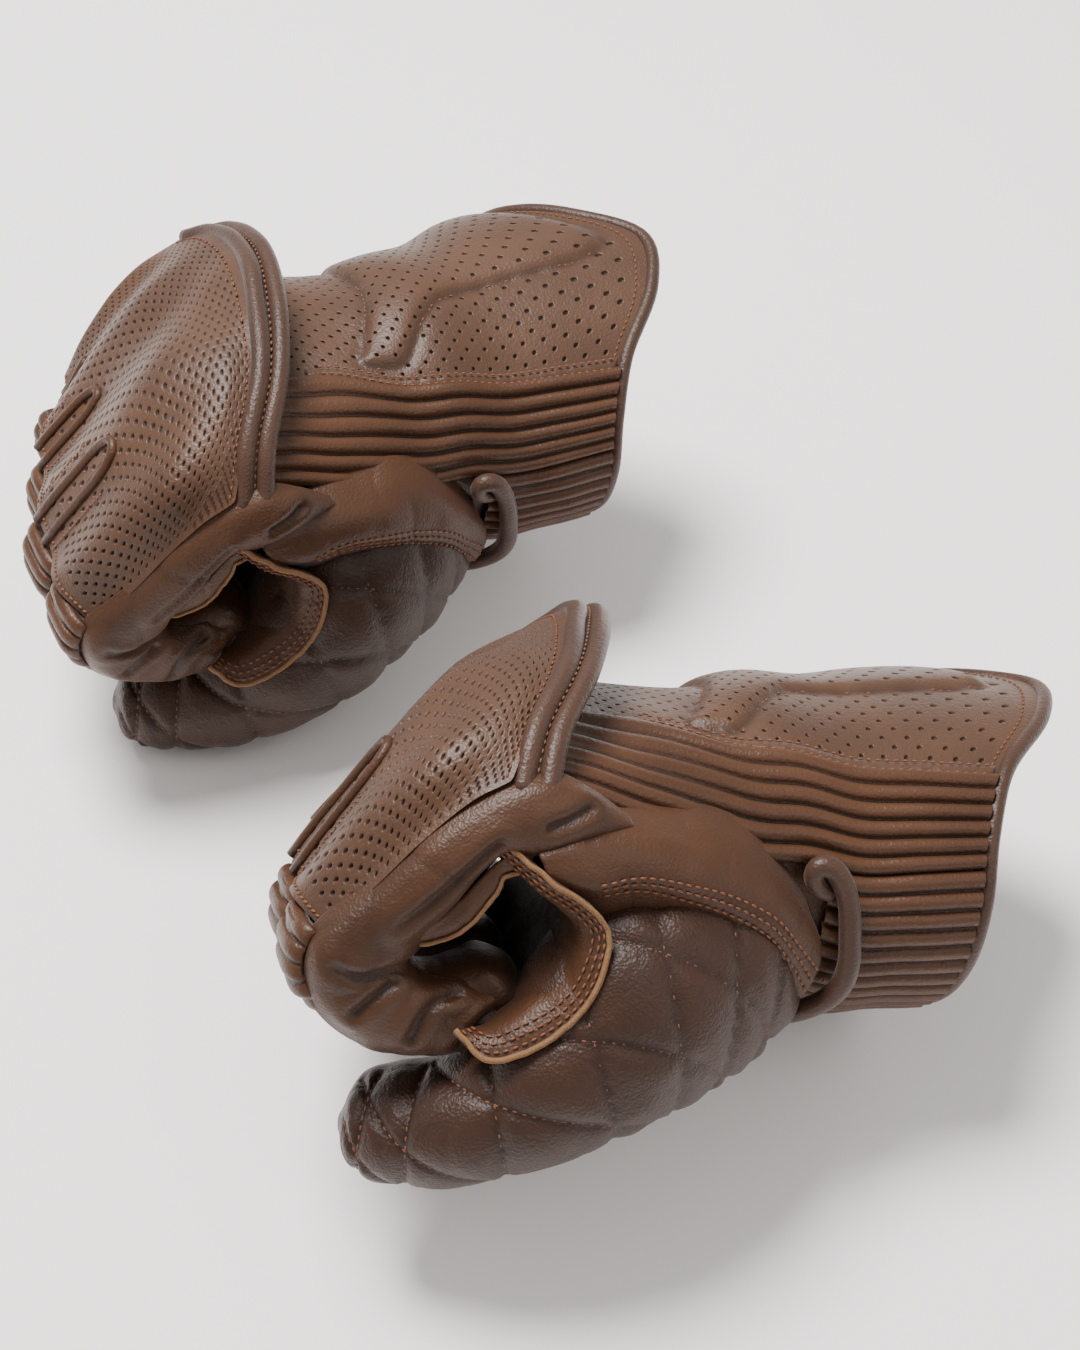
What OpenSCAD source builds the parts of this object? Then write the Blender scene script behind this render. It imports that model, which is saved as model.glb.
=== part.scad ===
// Two short right-hand leather gloves, closed as a gripping fist, lying on a flat surface.
// Each glove is modelled in its own frame: +X to the cuff, +Y to the little finger, +Z to the back
// of the hand. place_near() and place_far() then set the two gloves down.

/* [Hand] */
// Length of the closed glove, from the finger knuckles to the tip of the hem
hand_length = 196; // [176:1:216]
// Width across the knuckles
hand_width = 104; // [94:1:116]
// Height of the fist, from the knuckle panel to the underside of the thumb
hand_height = 138; // [126:1:152]

/* [Leather] */
// Thickness of the outer leather
leather = 1.6; // [1:0.1:2.2]
// Thickness of the fabric lining
lining = 0.8; // [0.5:0.1:1.2]
// Thickness of the foam under the knuckle panel
knuckle_foam = 4; // [2:0.5:6]

/* [Cuff] */
// Number of long ribs on the thumb side of the cuff
rib_count = 13; // [9:1:15]
// How far a rib stands above the groove beside it
rib_height = 1.4; // [0.8:0.1:2]
// Thickness of the raised foam pad on the back of the cuff
cuff_pad_height = 2.4; // [1:0.2:4]
// Radius of the rolled binding round the hem
hem_radius = 2.6; // [1.8:0.1:3.2]
// Radius of the rolled leather loop at the wrist
loop_radius = 3.4; // [2.6:0.1:4]
// Length of the open joint in the outer leather at the wrist
wrist_gap = 7.6; // [7:0.2:9]

/* [Knuckles] */
// Radius of each of the two rolls that edge the knuckle panel
piping_radius = 2.9; // [2:0.1:3.4]

/* [Fingers] */
// Clear space between one finger and the next
finger_gap = 1; // [0.8:0.1:1.6]
// Wall of a finger and the thumb
finger_wall = 2.2; // [1.6:0.1:2.6]

/* [Hidden] */
PARTS = ["hand_shell", "knuckle_panel", "knuckle_piping", "knuckle_pad", "cleft_gussets",
         "index_side", "web_panel", "palm_panel", "wrist_back", "wrist_ribs",
         "index_finger", "middle_finger", "ring_finger", "little_finger",
         "index_flex_ribs", "middle_flex_ribs", "ring_flex_ribs", "little_flex_ribs",
         "thumb", "thumb_patch",
         "cuff_back", "cuff_pad", "cuff_ribs", "cuff_palm", "cuff_seams", "hem_binding",
         "wrist_loop", "cuff_lining"];

tan_leather = [0.45, 0.29, 0.19];
brown_leather = [0.36, 0.21, 0.14];
dark_leather = [0.25, 0.15, 0.11];
lining_black = [0.08, 0.08, 0.08];

// The pattern below is drawn at this size and stretched to the driving sizes.
pattern_size = [196, 104, 138];
stretch = [hand_length / pattern_size[0], hand_width / pattern_size[1], hand_height / pattern_size[2]];
function sized(p) = [p[0] * stretch[0], p[1] * stretch[1], p[2] * stretch[2]];

// Where the two gloves lie, and how they are turned.
near_turn = [-32.5, 11.8, 8.6];
near_at = [7.3, -65.4, 90.7];
far_turn = [2.2, 5.7, 26.8];
far_at = [-76.7, 56.8, 95.4];

// --- smooth curves and surfaces -------------------------------------------------------------------
function blend4(a, b, c, d, t) =
    0.5 * (2 * b + (c - a) * t + (2 * a - 5 * b + 4 * c - d) * t * t + (3 * b - a - 3 * c + d) * t * t * t);
function on_line(p, t) =
    let (n = len(p), i = max(0, min(floor(t), n - 2)))
    blend4(i > 0 ? p[i - 1] : 2 * p[0] - p[1], p[i], p[i + 1],
           i + 2 < n ? p[i + 2] : 2 * p[n - 1] - p[n - 2], t - i);
function on_ring(p, t) =
    let (n = len(p), i = floor(t))
    blend4(p[(i - 1 + n) % n], p[(i + n) % n], p[(i + 1 + n) % n], p[(i + 2 + n) % n], t - i);
function on_net(net, u, v, round) =
    on_line([for (row = net) round ? on_ring(row, v) : on_line(row, v)], u);
function unit(v) = v / max(norm(v), 1e-9);
function net_normal(net, u, v, round) =
    let (e = 0.02, top = len(net) - 1)
    unit(cross(on_net(net, min(u + e, top), v, round) - on_net(net, max(u - e, 0), v, round),
               on_net(net, u, v + e, round) - on_net(net, u, v - e, round)));

// Faces of two facing layers of points, each of rows by columns, closed into one solid.
function layer_faces(rows, cols, round, flip) =
    let (size = rows * cols, last = round ? cols : cols - 1)
    concat(
        [for (i = [0 : rows - 2]) for (j = [0 : last - 1]) for (k = [0, 1]) for (h = [0, 1])
            let (a = i * cols + j, b = i * cols + (j + 1) % cols, c = a + cols, d = b + cols,
                 f = h == 0 ? [a, b, d] : [a, d, c])
            [for (x = (k == 0) != flip ? f : [f[2], f[1], f[0]]) x + k * size]],
        [for (i = [0, rows - 1]) for (j = [0 : last - 1]) for (h = [0, 1])
            let (a = i * cols + j, b = i * cols + (j + 1) % cols,
                 f = h == 0 ? [a, a + size, b + size] : [a, b + size, b])
            ((i == 0) != flip) ? f : [f[2], f[1], f[0]]],
        round ? [] : [for (j = [0, cols - 1]) for (i = [0 : rows - 2]) for (h = [0, 1])
            let (a = i * cols + j, b = a + cols,
                 f = h == 0 ? [a, a + size, b + size] : [a, b + size, b])
            ((j == 0) == flip) ? f : [f[2], f[1], f[0]]]);

// A sheet of leather over part of a net: u and v are [from, to, steps], lift is the gap under it.
module sheet(net, u, v, lift, thick, flip = false, round = false, waves = 0, wave_height = 0) {
    full = round && v[1] - v[0] == len(net[0]);
    rows = u[2] + 1;
    cols = full ? v[2] : v[2] + 1;
    side = flip ? -1 : 1;
    at = [for (i = [0 : rows - 1]) for (j = [0 : cols - 1])
        let (a = u[0] + (u[1] - u[0]) * i / u[2], b = v[0] + (v[1] - v[0]) * j / v[2])
        [on_net(net, a, b, round), side * net_normal(net, a, b, round),
         wave_height * abs(sin(180 * waves * j / v[2]))]];
    polyhedron(
        points = concat([for (p = at) p[0] + p[1] * (lift + thick + p[2])],
                        [for (p = at) p[0] + p[1] * lift]),
        faces = layer_faces(rows, cols, full, flip));
}

// Rings of points joined into a closed skin, with a flat cap at each end.
module skin(rings) {
    n = len(rings[0]);
    m = len(rings);
    points = [for (r = rings) for (p = r) p];
    polyhedron(points, concat(
        [for (i = [0 : m - 2]) for (j = [0 : n - 1]) for (h = [0, 1])
            let (a = i * n + j, b = i * n + (j + 1) % n, c = a + n, d = b + n)
            h == 0 ? [a, d, b] : [a, c, d]],
        [for (j = [1 : n - 2]) [0, j, j + 1]],
        [for (j = [1 : n - 2]) [(m - 1) * n, (m - 1) * n + j + 1, (m - 1) * n + j]]));
}

// A round roll of leather that follows a list of points; across is a direction that it never runs along.
module roll(path, radius, sides = 8, across = [1, 0, 0.1]) {
    n = len(path);
    skin([for (i = [0 : n - 1])
        let (t = unit(path[min(i + 1, n - 1)] - path[max(i - 1, 0)]),
             a = unit(cross(t, across)), b = cross(t, a))
        [for (k = [0 : sides - 1]) path[i] + radius * (a * cos(360 * k / sides) + b * sin(360 * k / sides))]]);
}

// A round roll that closes on itself.
module closed_roll(path, radius, sides = 6) {
    n = len(path);
    points = [for (i = [0 : n - 1])
        let (t = unit(path[(i + 1) % n] - path[(i + n - 1) % n]),
             a = unit(cross(t, [1, 0.1, 0.1])), b = cross(t, a))
        for (k = [0 : sides - 1]) path[i] + radius * (a * cos(360 * k / sides) + b * sin(360 * k / sides))];
    polyhedron(points, [for (i = [0 : n - 1]) for (k = [0 : sides - 1]) for (h = [0, 1])
        let (a = i * sides + k, b = i * sides + (k + 1) % sides,
             c = ((i + 1) % n) * sides + k, d = ((i + 1) % n) * sides + (k + 1) % sides)
        h == 0 ? [a, d, b] : [a, c, d]]);
}

// --- the pattern ----------------------------------------------------------------------------------
// Knuckle panel: rows from the rolled rear edge to the finger fronts, from the index side across.
knuckle_rows = [
    [[-15, -46, 3], [-10, -37, 13], [0, -21, 22], [7.5, 2, 26.5], [12, 24, 24.5], [12, 43, 17], [8, 53, 9]],
    [[-23, -46, -1], [-17, -37, 12], [-10, -19, 22], [-4, 4, 21.5], [0, 26, 17], [0, 43, 10], [-3, 53, 3]],
    [[-33, -46, -9], [-29, -37, 5], [-24, -18, 14], [-17, 5, 13], [-12, 25, 8], [-11, 42, 2], [-13, 52, -7]],
    [[-43, -45, -20], [-42, -34, -8], [-40, -17, -4], [-33, 4, -6], [-28, 25, -10], [-24, 41, -13], [-22, 51, -18]],
    [[-54, -42, -32], [-57, -27, -30], [-55, -13, -30], [-50, 6, -30], [-44, 24, -31], [-34, 40, -30], [-27, 50, -29]],
];
knuckle_net = [for (row = knuckle_rows) [for (p = row) sized(p)]];

// Centre lines of the two rolls behind the panel's rear edge.
piping_lines = [
    [[-12, -46, 3], [-7, -37, 13.5], [3, -22, 23.5], [11, 0, 28.5], [16, 21, 27], [16, 42, 19], [11, 53, 11]],
    [[-6, -47, 4], [-1, -38, 13.5], [8.5, -24, 23], [17, -2, 27.5], [22, 21, 27], [22, 42, 19], [17, 53, 12]],
];

// Wrist and cuff: one oval a station, [x, centre y, centre z, half width, half height].
cuff_ovals = [
    [-8, 6.5, -4, 48, 16],
    [8, 6.5, -8, 47, 17],
    [24, 6, -13, 45, 21],
    [42, 5, -21, 43, 30],
    [57.5, 5, -24, 43, 36],
    [72, 6, -27, 45, 38],
    [86, 8, -26, 49, 38.5],
    [101, 8, -25, 50, 39],
];
// The hem runs out to a point on the back of the hand.
hem_point = 31;
oval_steps = 16;
function hem_reach(angle) = hem_point * exp(-pow((angle - 85) / 35, 2));
cuff_net = [for (i = [0 : len(cuff_ovals) - 1])
    let (o = cuff_ovals[i], share = max(0, i - 4) / (len(cuff_ovals) - 5))
    [for (k = [0 : oval_steps - 1])
        let (angle = 360 * k / oval_steps)
        sized([o[0] + share * share * hem_reach(angle),
               o[1] - o[3] * cos(angle), o[2] + o[4] * sin(angle)])]];
hem_u = len(cuff_ovals) - 1;
cuff_end_u = hem_u - 0.12;

// The open joint in the outer leather lies half before and half behind this oval.
wrist_u = 4;
wrist_front_u = wrist_u - wrist_gap / 2 / (cuff_ovals[wrist_u][0] - cuff_ovals[wrist_u - 1][0]);
wrist_rear_u = wrist_u + wrist_gap / 2 / (cuff_ovals[wrist_u + 1][0] - cuff_ovals[wrist_u][0]);

// Seams on the cuff, as steps round the oval from the thumb side over the back.
near_seam = 1.6;
far_seam = 6.6;
rib_start = -3.6;
palm_end = far_seam - oval_steps;

// Hand: [x, z, half thickness, lean of the section] from the wrist to the finger roots.
hand_stations = [
    [70, -24, 25, 0],
    [57.5, -23, 25, 0],
    [42, -17, 19, 0],
    [20, -9, 14, 4],
    [-2, -5, 11.5, 10],
    [-18, -8, 11, 28],
    [-29, -15, 10.5, 50],
    [-35, -23, 10, 66],
];
hand_half_width = [33, 33, 33, 38, 42, 43, 42, 39];
// How far the little finger side of the hand drops below the index side.
hand_droop = [0, 0, 0, 2, 5, 8, 8, 7];
// How far back the finger roots step for each millimetre toward the little finger.
hand_skew = [0, 0, 0, 0, 0.1, 0.18, 0.24, 0.26];
hand_steps = 16;
hand_net = [for (i = [0 : len(hand_stations) - 1])
    let (s = hand_stations[i], w = hand_half_width[i])
    [for (k = [0 : hand_steps - 1])
        let (angle = 360 * k / hand_steps, y = -w * cos(angle),
             h = s[2] * sin(angle) - hand_droop[i] * pow(max(0, y) / w, 1.5))
        sized([s[0] - h * sin(s[3]) + hand_skew[i] * max(0, y + 20), y + 4, s[1] + h * cos(s[3])])]];

// Thumb: [x, y, z, half height, half depth] from its root to its tip.
thumb_stations = [
    [51, -28, -45, 16, 12],
    [40, -33, -46, 22, 17],
    [22, -39, -53, 23.5, 21],
    [6, -41, -65, 19.5, 19],
    [-8, -38.5, -75.5, 16.3, 18],
    [-20, -34, -82.5, 14.8, 16],
    [-32, -28, -85, 13, 13.5],
    [-40, -24, -86, 7, 7],
];
thumb_steps = 14;
function thumb_ring(i, shrink) =
    let (s = thumb_stations, n = len(s), c = [s[i][0], s[i][1], s[i][2]],
         a = s[max(i - 1, 0)], b = s[min(i + 1, n - 1)],
         t = unit([b[0] - a[0], b[1] - a[1], b[2] - a[2]]),
         out = unit(cross([0, 0, 1], t)), up = cross(t, out))
    [for (k = [0 : thumb_steps - 1])
        let (angle = 360 * k / thumb_steps)
        sized(c + out * (s[i][4] - shrink) * cos(angle) + up * (s[i][3] - shrink) * sin(angle))];

// Fingers: hinge [x, z], slab from y to y, radius round the hinge.
finger_pivots = [[-47.5, -40], [-46.5, -40], [-38.5, -41], [-30.5, -40]];
finger_slabs = [[-44, -21], [-21, 2], [2, 25], [25, 46]];
finger_radius = [12.3, 12.3, 12, 10.6];
// Gap between a finger and the stack of rolls on its bend.
flex_rib_lift = 2.3;
// Curled finger behind its hinge: [x, z, half thickness] from the hinge.
finger_curl = [[2, -3, 0.76], [11, -12.5, 0.9], [22, -14, 0.82], [31, -10, 0.7], [37, -5, 0.52]];

// --- pieces of one glove --------------------------------------------------------------------------
module hand_shell() {
    color(brown_leather)
    sheet(hand_net, [0, len(hand_net) - 1, 10], [0, hand_steps, 20], -leather, leather,
          flip = true, round = true);
}

module knuckle_panel() {
    color(tan_leather) sheet(knuckle_net, [0, 4, 10], [0, 6, 14], 0, leather, flip = true);
}

module knuckle_pad() {
    color(lining_black)
    sheet(knuckle_net, [0.3, 2.5, 5], [0.6, 5.4, 8], -knuckle_foam - 0.3, knuckle_foam, flip = true);
}

module knuckle_piping() {
    color(dark_leather)
    for (line = piping_lines)
        let (path = [for (p = line) sized(p)])
        roll([for (k = [0 : 14]) on_line(path, 6 * k / 14) + [0.3, 0, 0.1]], piping_radius);
}

module cleft_gussets() {
    color(brown_leather)
    for (v = [2, 3.55, 4.85]) {
        roll([for (k = [0 : 5]) let (u = 2.6 + 1.35 * k / 5)
                on_net(knuckle_net, u, v, false)
                - net_normal(knuckle_net, u, v, false) * (leather + 1.6)],
             1.4, 6, [0, 1, 0]);
    }
}

index_side_net = [for (row = [
    [[-8, -49, 1], [-6, -52, -5], [-4, -50, -14]],
    [[-21, -49, -4], [-19, -52, -10], [-13, -48, -20]],
    [[-32, -49, -12], [-31, -51, -18], [-24, -47, -28]],
    [[-42, -48, -23], [-41, -50, -26], [-35, -46, -33]],
]) [for (p = row) sized(p)]];

module index_side() {
    color(brown_leather) sheet(index_side_net, [0, 3, 8], [0, 2, 4], 0, leather);
}

web_net = [for (row = [
    [[-6, -50, -10], [-4, -50, -14], [0, -48, -18]],
    [[14, -50, -8], [16, -51, -13], [18, -50, -19]],
    [[34, -47, -10], [35, -48, -15], [36, -47, -20]],
    [[52, -43, -15], [52, -43, -20], [52, -42, -25]],
]) [for (p = row) sized(p)]];

module web_panel() {
    color(brown_leather) sheet(web_net, [0, 3, 8], [0, 2, 4], 0, leather);
}

module palm_panel() {
    color(dark_leather)
    sheet(hand_net, [2.4, 4.6, 6], [8.5, 13.2, 8], 0.9, leather, flip = true, round = true);
}

module wrist_back() {
    color(tan_leather)
    sheet(cuff_net, [0.9, wrist_front_u, 6], [near_seam, far_seam, 8], 0, leather, round = true);
}

module wrist_ribs() {
    color(brown_leather)
    sheet(cuff_net, [0.5, wrist_front_u, 4], [-0.4, near_seam - 0.05, 16], 0, leather, round = true,
          waves = 8, wave_height = rib_height);
}

module cuff_back() {
    color(tan_leather)
    sheet(cuff_net, [wrist_rear_u, cuff_end_u, 6], [near_seam, far_seam, 9], 0, leather, round = true);
}

module cuff_ribs() {
    color(brown_leather)
    sheet(cuff_net, [wrist_rear_u, cuff_end_u, 5], [rib_start, near_seam - 0.05, 2 * rib_count], 0, leather,
          round = true, waves = rib_count, wave_height = rib_height);
}

module cuff_palm() {
    color(brown_leather)
    sheet(cuff_net, [wrist_rear_u, cuff_end_u, 5], [palm_end + 0.05, rib_start - 0.05, 9], 0, leather, round = true);
}

module cuff_lining() {
    color(lining_black)
    sheet(cuff_net, [wrist_rear_u + 0.1, cuff_end_u, 5], [0, oval_steps, 20], -0.5 - lining, lining,
          round = true);
}

module cuff_pad() {
    color(tan_leather)
    sheet(cuff_net, [4.6, hem_u - 0.35, 6], [2.6, 5.9, 9], leather + 0.5, cuff_pad_height, round = true);
}

module cuff_seams() {
    color(tan_leather)
    for (v = [near_seam, far_seam]) {
        sheet(cuff_net, [wrist_rear_u + 0.05, hem_u - 0.1, 5], [v - 0.1, v + 0.1, 1],
              leather + rib_height + 0.1, 0.8, round = true);
    }
}

module hem_binding() {
    color(dark_leather)
    closed_roll([for (k = [0 : 27]) on_ring(cuff_net[hem_u], oval_steps * k / 28)
        + net_normal(cuff_net, hem_u, oval_steps * k / 28, true) * leather / 2 + [hem_radius * 0.6, 0, 0]],
        hem_radius);
}

module wrist_loop() {
    start = 0.25;
    end = -2.6;
    path = [for (k = [0 : 9])
        let (v = start + (end - start) * k / 9, lift = leather + rib_height + loop_radius + 0.2)
        on_net(cuff_net, 4.45, v, true) + net_normal(cuff_net, 4.45, v, true) * lift];
    color(dark_leather) roll(path, loop_radius);
}

function finger_rings(i, shrink) =
    let (pivot = finger_pivots[i], r = finger_radius[i], slab = finger_slabs[i],
         wide = (slab[1] - slab[0] - finger_gap) / 2 - shrink, middle = (slab[0] + slab[1]) / 2,
         s = r / 12.3, path = concat([[-3, 6, 0.78], [-3.5, 0, 0.72]], finger_curl),
         n = len(path))
    [for (k = [0 : n - 1])
        let (a = path[max(k - 1, 0)], b = path[min(k + 1, n - 1)], t = unit([b[0] - a[0], b[1] - a[1]]),
             half = path[k][2] * r - shrink,
             reach = shrink > 0 ? (k == 0 ? -3 : k == n - 1 ? -shrink : 0) : 0,
             x = pivot[0] + path[k][0] * s + t[0] * reach, z = pivot[1] + path[k][1] * s + t[1] * reach)
        [for (j = [0 : 11])
            let (angle = -360 * j / 12, w = cos(angle), h = sin(angle))
            sized([x + t[1] * half * h, middle + wide * w, z - t[0] * half * h])]];

module finger(i) {
    color(brown_leather)
    difference() {
        skin(finger_rings(i, 0));
        skin(finger_rings(i, finger_wall));
    }
}

module flex_ribs(i) {
    pivot = finger_pivots[i];
    slab = finger_slabs[i];
    wide = (slab[1] - slab[0] - finger_gap) / 2 - leather / 2;
    middle = (slab[0] + slab[1]) / 2;
    r = finger_radius[i];
    net = [for (a = [150 : 20 : 270]) [for (s = [-1, -0.6, 0, 0.6, 1])
        let (rr = r - 2.2 * s * s)
        sized([pivot[0] + rr * cos(a), middle + wide * s, pivot[1] + rr * sin(a)])]];
    color(brown_leather) sheet(net, [0, 6, 8], [0, 4, 4], flex_rib_lift, leather / 2, flip = true);
}

module thumb_hollow() {
    n = len(thumb_stations);
    first = thumb_ring(0, finger_wall);
    second = thumb_ring(1, finger_wall);
    skin(concat([[for (k = [0 : thumb_steps - 1]) first[k] + 0.3 * (first[k] - second[k])]],
                [for (i = [1 : n - 2]) thumb_ring(i, finger_wall)]));
}

module thumb() {
    n = len(thumb_stations);
    color(dark_leather)
    difference() {
        skin([for (i = [0 : n - 1]) thumb_ring(i, 0)]);
        thumb_hollow();
    }
}

thumb_net = [for (i = [0 : len(thumb_stations) - 1]) thumb_ring(i, 0)];

module thumb_patch() {
    color(brown_leather)
    sheet(thumb_net, [1.2, 4.3, 8], [0.7, 3.1, 4], 0.7, leather * 0.6, flip = true, round = true);
}

module glove_part(name) {
    if (name == "hand_shell") hand_shell();
    if (name == "knuckle_panel") knuckle_panel();
    if (name == "knuckle_piping") knuckle_piping();
    if (name == "knuckle_pad") knuckle_pad();
    if (name == "cleft_gussets") cleft_gussets();
    if (name == "index_side") index_side();
    if (name == "web_panel") web_panel();
    if (name == "palm_panel") palm_panel();
    if (name == "wrist_back") wrist_back();
    if (name == "wrist_ribs") wrist_ribs();
    if (name == "index_finger") finger(0);
    if (name == "middle_finger") finger(1);
    if (name == "ring_finger") finger(2);
    if (name == "little_finger") finger(3);
    if (name == "index_flex_ribs") flex_ribs(0);
    if (name == "middle_flex_ribs") flex_ribs(1);
    if (name == "ring_flex_ribs") flex_ribs(2);
    if (name == "little_flex_ribs") flex_ribs(3);
    if (name == "thumb") thumb();
    if (name == "thumb_patch") thumb_patch();
    if (name == "cuff_back") cuff_back();
    if (name == "cuff_pad") cuff_pad();
    if (name == "cuff_ribs") cuff_ribs();
    if (name == "cuff_palm") cuff_palm();
    if (name == "cuff_seams") cuff_seams();
    if (name == "hem_binding") hem_binding();
    if (name == "wrist_loop") wrist_loop();
    if (name == "cuff_lining") cuff_lining();
}

module place_near() { translate(near_at) rotate(near_turn) children(); }
module place_far() { translate(far_at) rotate(far_turn) children(); }

for (part = PARTS) {
    place_near() glove_part(part);
    place_far() glove_part(part);
}
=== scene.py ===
"""Two short right-hand leather gloves closed as a fist: perforated knuckles and cuff, ribs, quilted thumb."""

import math

import bmesh
import bpy
import numpy as np
from mathutils import Euler, Matrix, Vector


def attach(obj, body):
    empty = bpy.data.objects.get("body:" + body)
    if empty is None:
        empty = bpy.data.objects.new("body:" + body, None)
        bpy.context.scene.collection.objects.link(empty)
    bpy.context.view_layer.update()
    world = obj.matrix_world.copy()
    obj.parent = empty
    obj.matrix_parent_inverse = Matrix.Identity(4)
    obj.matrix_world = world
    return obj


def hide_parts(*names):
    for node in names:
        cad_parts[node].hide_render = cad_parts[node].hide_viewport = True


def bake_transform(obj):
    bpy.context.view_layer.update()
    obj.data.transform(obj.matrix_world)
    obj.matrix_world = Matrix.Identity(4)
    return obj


bl_info = {
    "name": "Fist gloves",
    "version": (1, 0, 0),
    "blender": (4, 5, 0),
    "location": "View3D > Sidebar > Gloves",
    "description": "Builds a pair of perforated, ribbed and quilted leather gloves",
    "category": "Object",
}

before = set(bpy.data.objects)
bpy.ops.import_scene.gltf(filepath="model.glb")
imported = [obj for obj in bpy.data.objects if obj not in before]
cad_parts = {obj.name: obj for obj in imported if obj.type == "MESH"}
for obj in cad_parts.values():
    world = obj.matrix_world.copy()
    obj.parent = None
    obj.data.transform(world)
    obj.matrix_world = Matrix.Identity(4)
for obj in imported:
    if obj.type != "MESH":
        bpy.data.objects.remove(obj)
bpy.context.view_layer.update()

# --- where each glove lies: turned about X, Y and Z in degrees, then moved, in millimetres ----------
PLACES = {
    "near": ((-32.5, 11.8, 8.6), (7.3, -65.4, 90.7)),
    "far": ((2.2, 5.7, 26.8), (-76.7, 56.8, 95.4)),
}
MILLIMETRE = 0.001
# Stitches are made this many at a time, which keeps the making quick.
BATCH = 24

# --- control points, in millimetres, in each glove's own frame: +X cuff, +Y little finger, +Z back --
KNUCKLES = np.array([
    [[-15, -46, 3], [-10, -37, 13], [0, -21, 22], [7.5, 2, 26.5], [12, 24, 24.5], [12, 43, 17], [8, 53, 9]],
    [[-23, -46, -1], [-17, -37, 12], [-10, -19, 22], [-4, 4, 21.5], [0, 26, 17], [0, 43, 10], [-3, 53, 3]],
    [[-33, -46, -9], [-29, -37, 5], [-24, -18, 14], [-17, 5, 13], [-12, 25, 8], [-11, 42, 2], [-13, 52, -7]],
    [[-43, -45, -20], [-42, -34, -8], [-40, -17, -4], [-33, 4, -6], [-28, 25, -10], [-24, 41, -13],
     [-22, 51, -18]],
    [[-54, -42, -32], [-57, -27, -30], [-55, -13, -30], [-50, 6, -30], [-44, 24, -31], [-34, 40, -30],
     [-27, 50, -29]],
], float)
ROLL_LINES = np.array([
    [[-13, -47, 1], [-8.5, -38, 13.5], [1.5, -22, 23.5], [9, 1, 28.5], [14, 22, 27], [14, 42.5, 19], [9, 53, 11]],
    [[-7.5, -48, 1], [-3.5, -39, 12.5], [6.5, -23, 22.5], [14.5, -1, 27.5], [19.5, 21, 26.5], [19.5, 42, 18.5],
     [14.5, 53, 11]],
], float)
# Wrist and cuff ovals: x, centre y, centre z, half width, half height.
OVALS = [
    (-8, 6.5, -4, 48, 16), (8, 6.5, -8, 47, 17), (24, 6, -13, 45, 21), (42, 5, -21, 43, 30),
    (57.5, 5, -24, 43, 36), (72, 6, -27, 45, 38), (86, 8, -26, 49, 38.5), (101, 8, -25, 50, 39),
]
HEM_POINT = 31
HEM_U = len(OVALS) - 1
OVAL_STEPS = 16
# Hand inside the panels: x, z, half thickness, lean in degrees, half width, droop, skew.
HAND = [
    (70, -24, 25, 0, 33, 0, 0), (57.5, -23, 25, 0, 33, 0, 0), (42, -17, 19, 0, 33, 0, 0),
    (20, -9, 14, 4, 38, 2, 0), (-2, -5, 11.5, 10, 42, 5, 0.1), (-18, -8, 11, 28, 43, 8, 0.18),
    (-29, -15, 10.5, 50, 42, 8, 0.24), (-35, -23, 10, 66, 39, 7, 0.26),
]
# Thumb: x, y, z, half height, half depth.
THUMB = [
    (55, -29, -45, 17, 13), (42, -34.5, -45, 24.5, 17.5), (22, -40, -49.5, 27.5, 21), (6, -42, -63.5, 21, 20),
    (-8, -39, -75, 15.8, 18), (-20, -34.5, -81.8, 14.2, 16.2), (-31, -29, -85.3, 12.8, 14.4),
    (-38.5, -25.5, -86.3, 10, 11.4), (-43, -23.5, -86.8, 2.5, 2.5),
]
FINGERS = ("index", "middle", "ring", "little")
FINGER_HINGES = [(-47.5, -40), (-46.5, -40), (-38.5, -41), (-30.5, -40)]
FINGER_SLABS = [(-44, -21), (-21, 2), (2, 25), (25, 46)]
FINGER_RADIUS = [12.3, 12.3, 12, 10.6]
FINGER_CURL = [(-2.5, 10, 0.72), (-3, 5, 0.77), (-3.5, 0, 0.74), (2, -3, 0.78), (11, -12.5, 0.92),
               (22, -14, 0.84), (31, -10, 0.72), (36, -6, 0.6), (39, -3, 0.2)]
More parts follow.
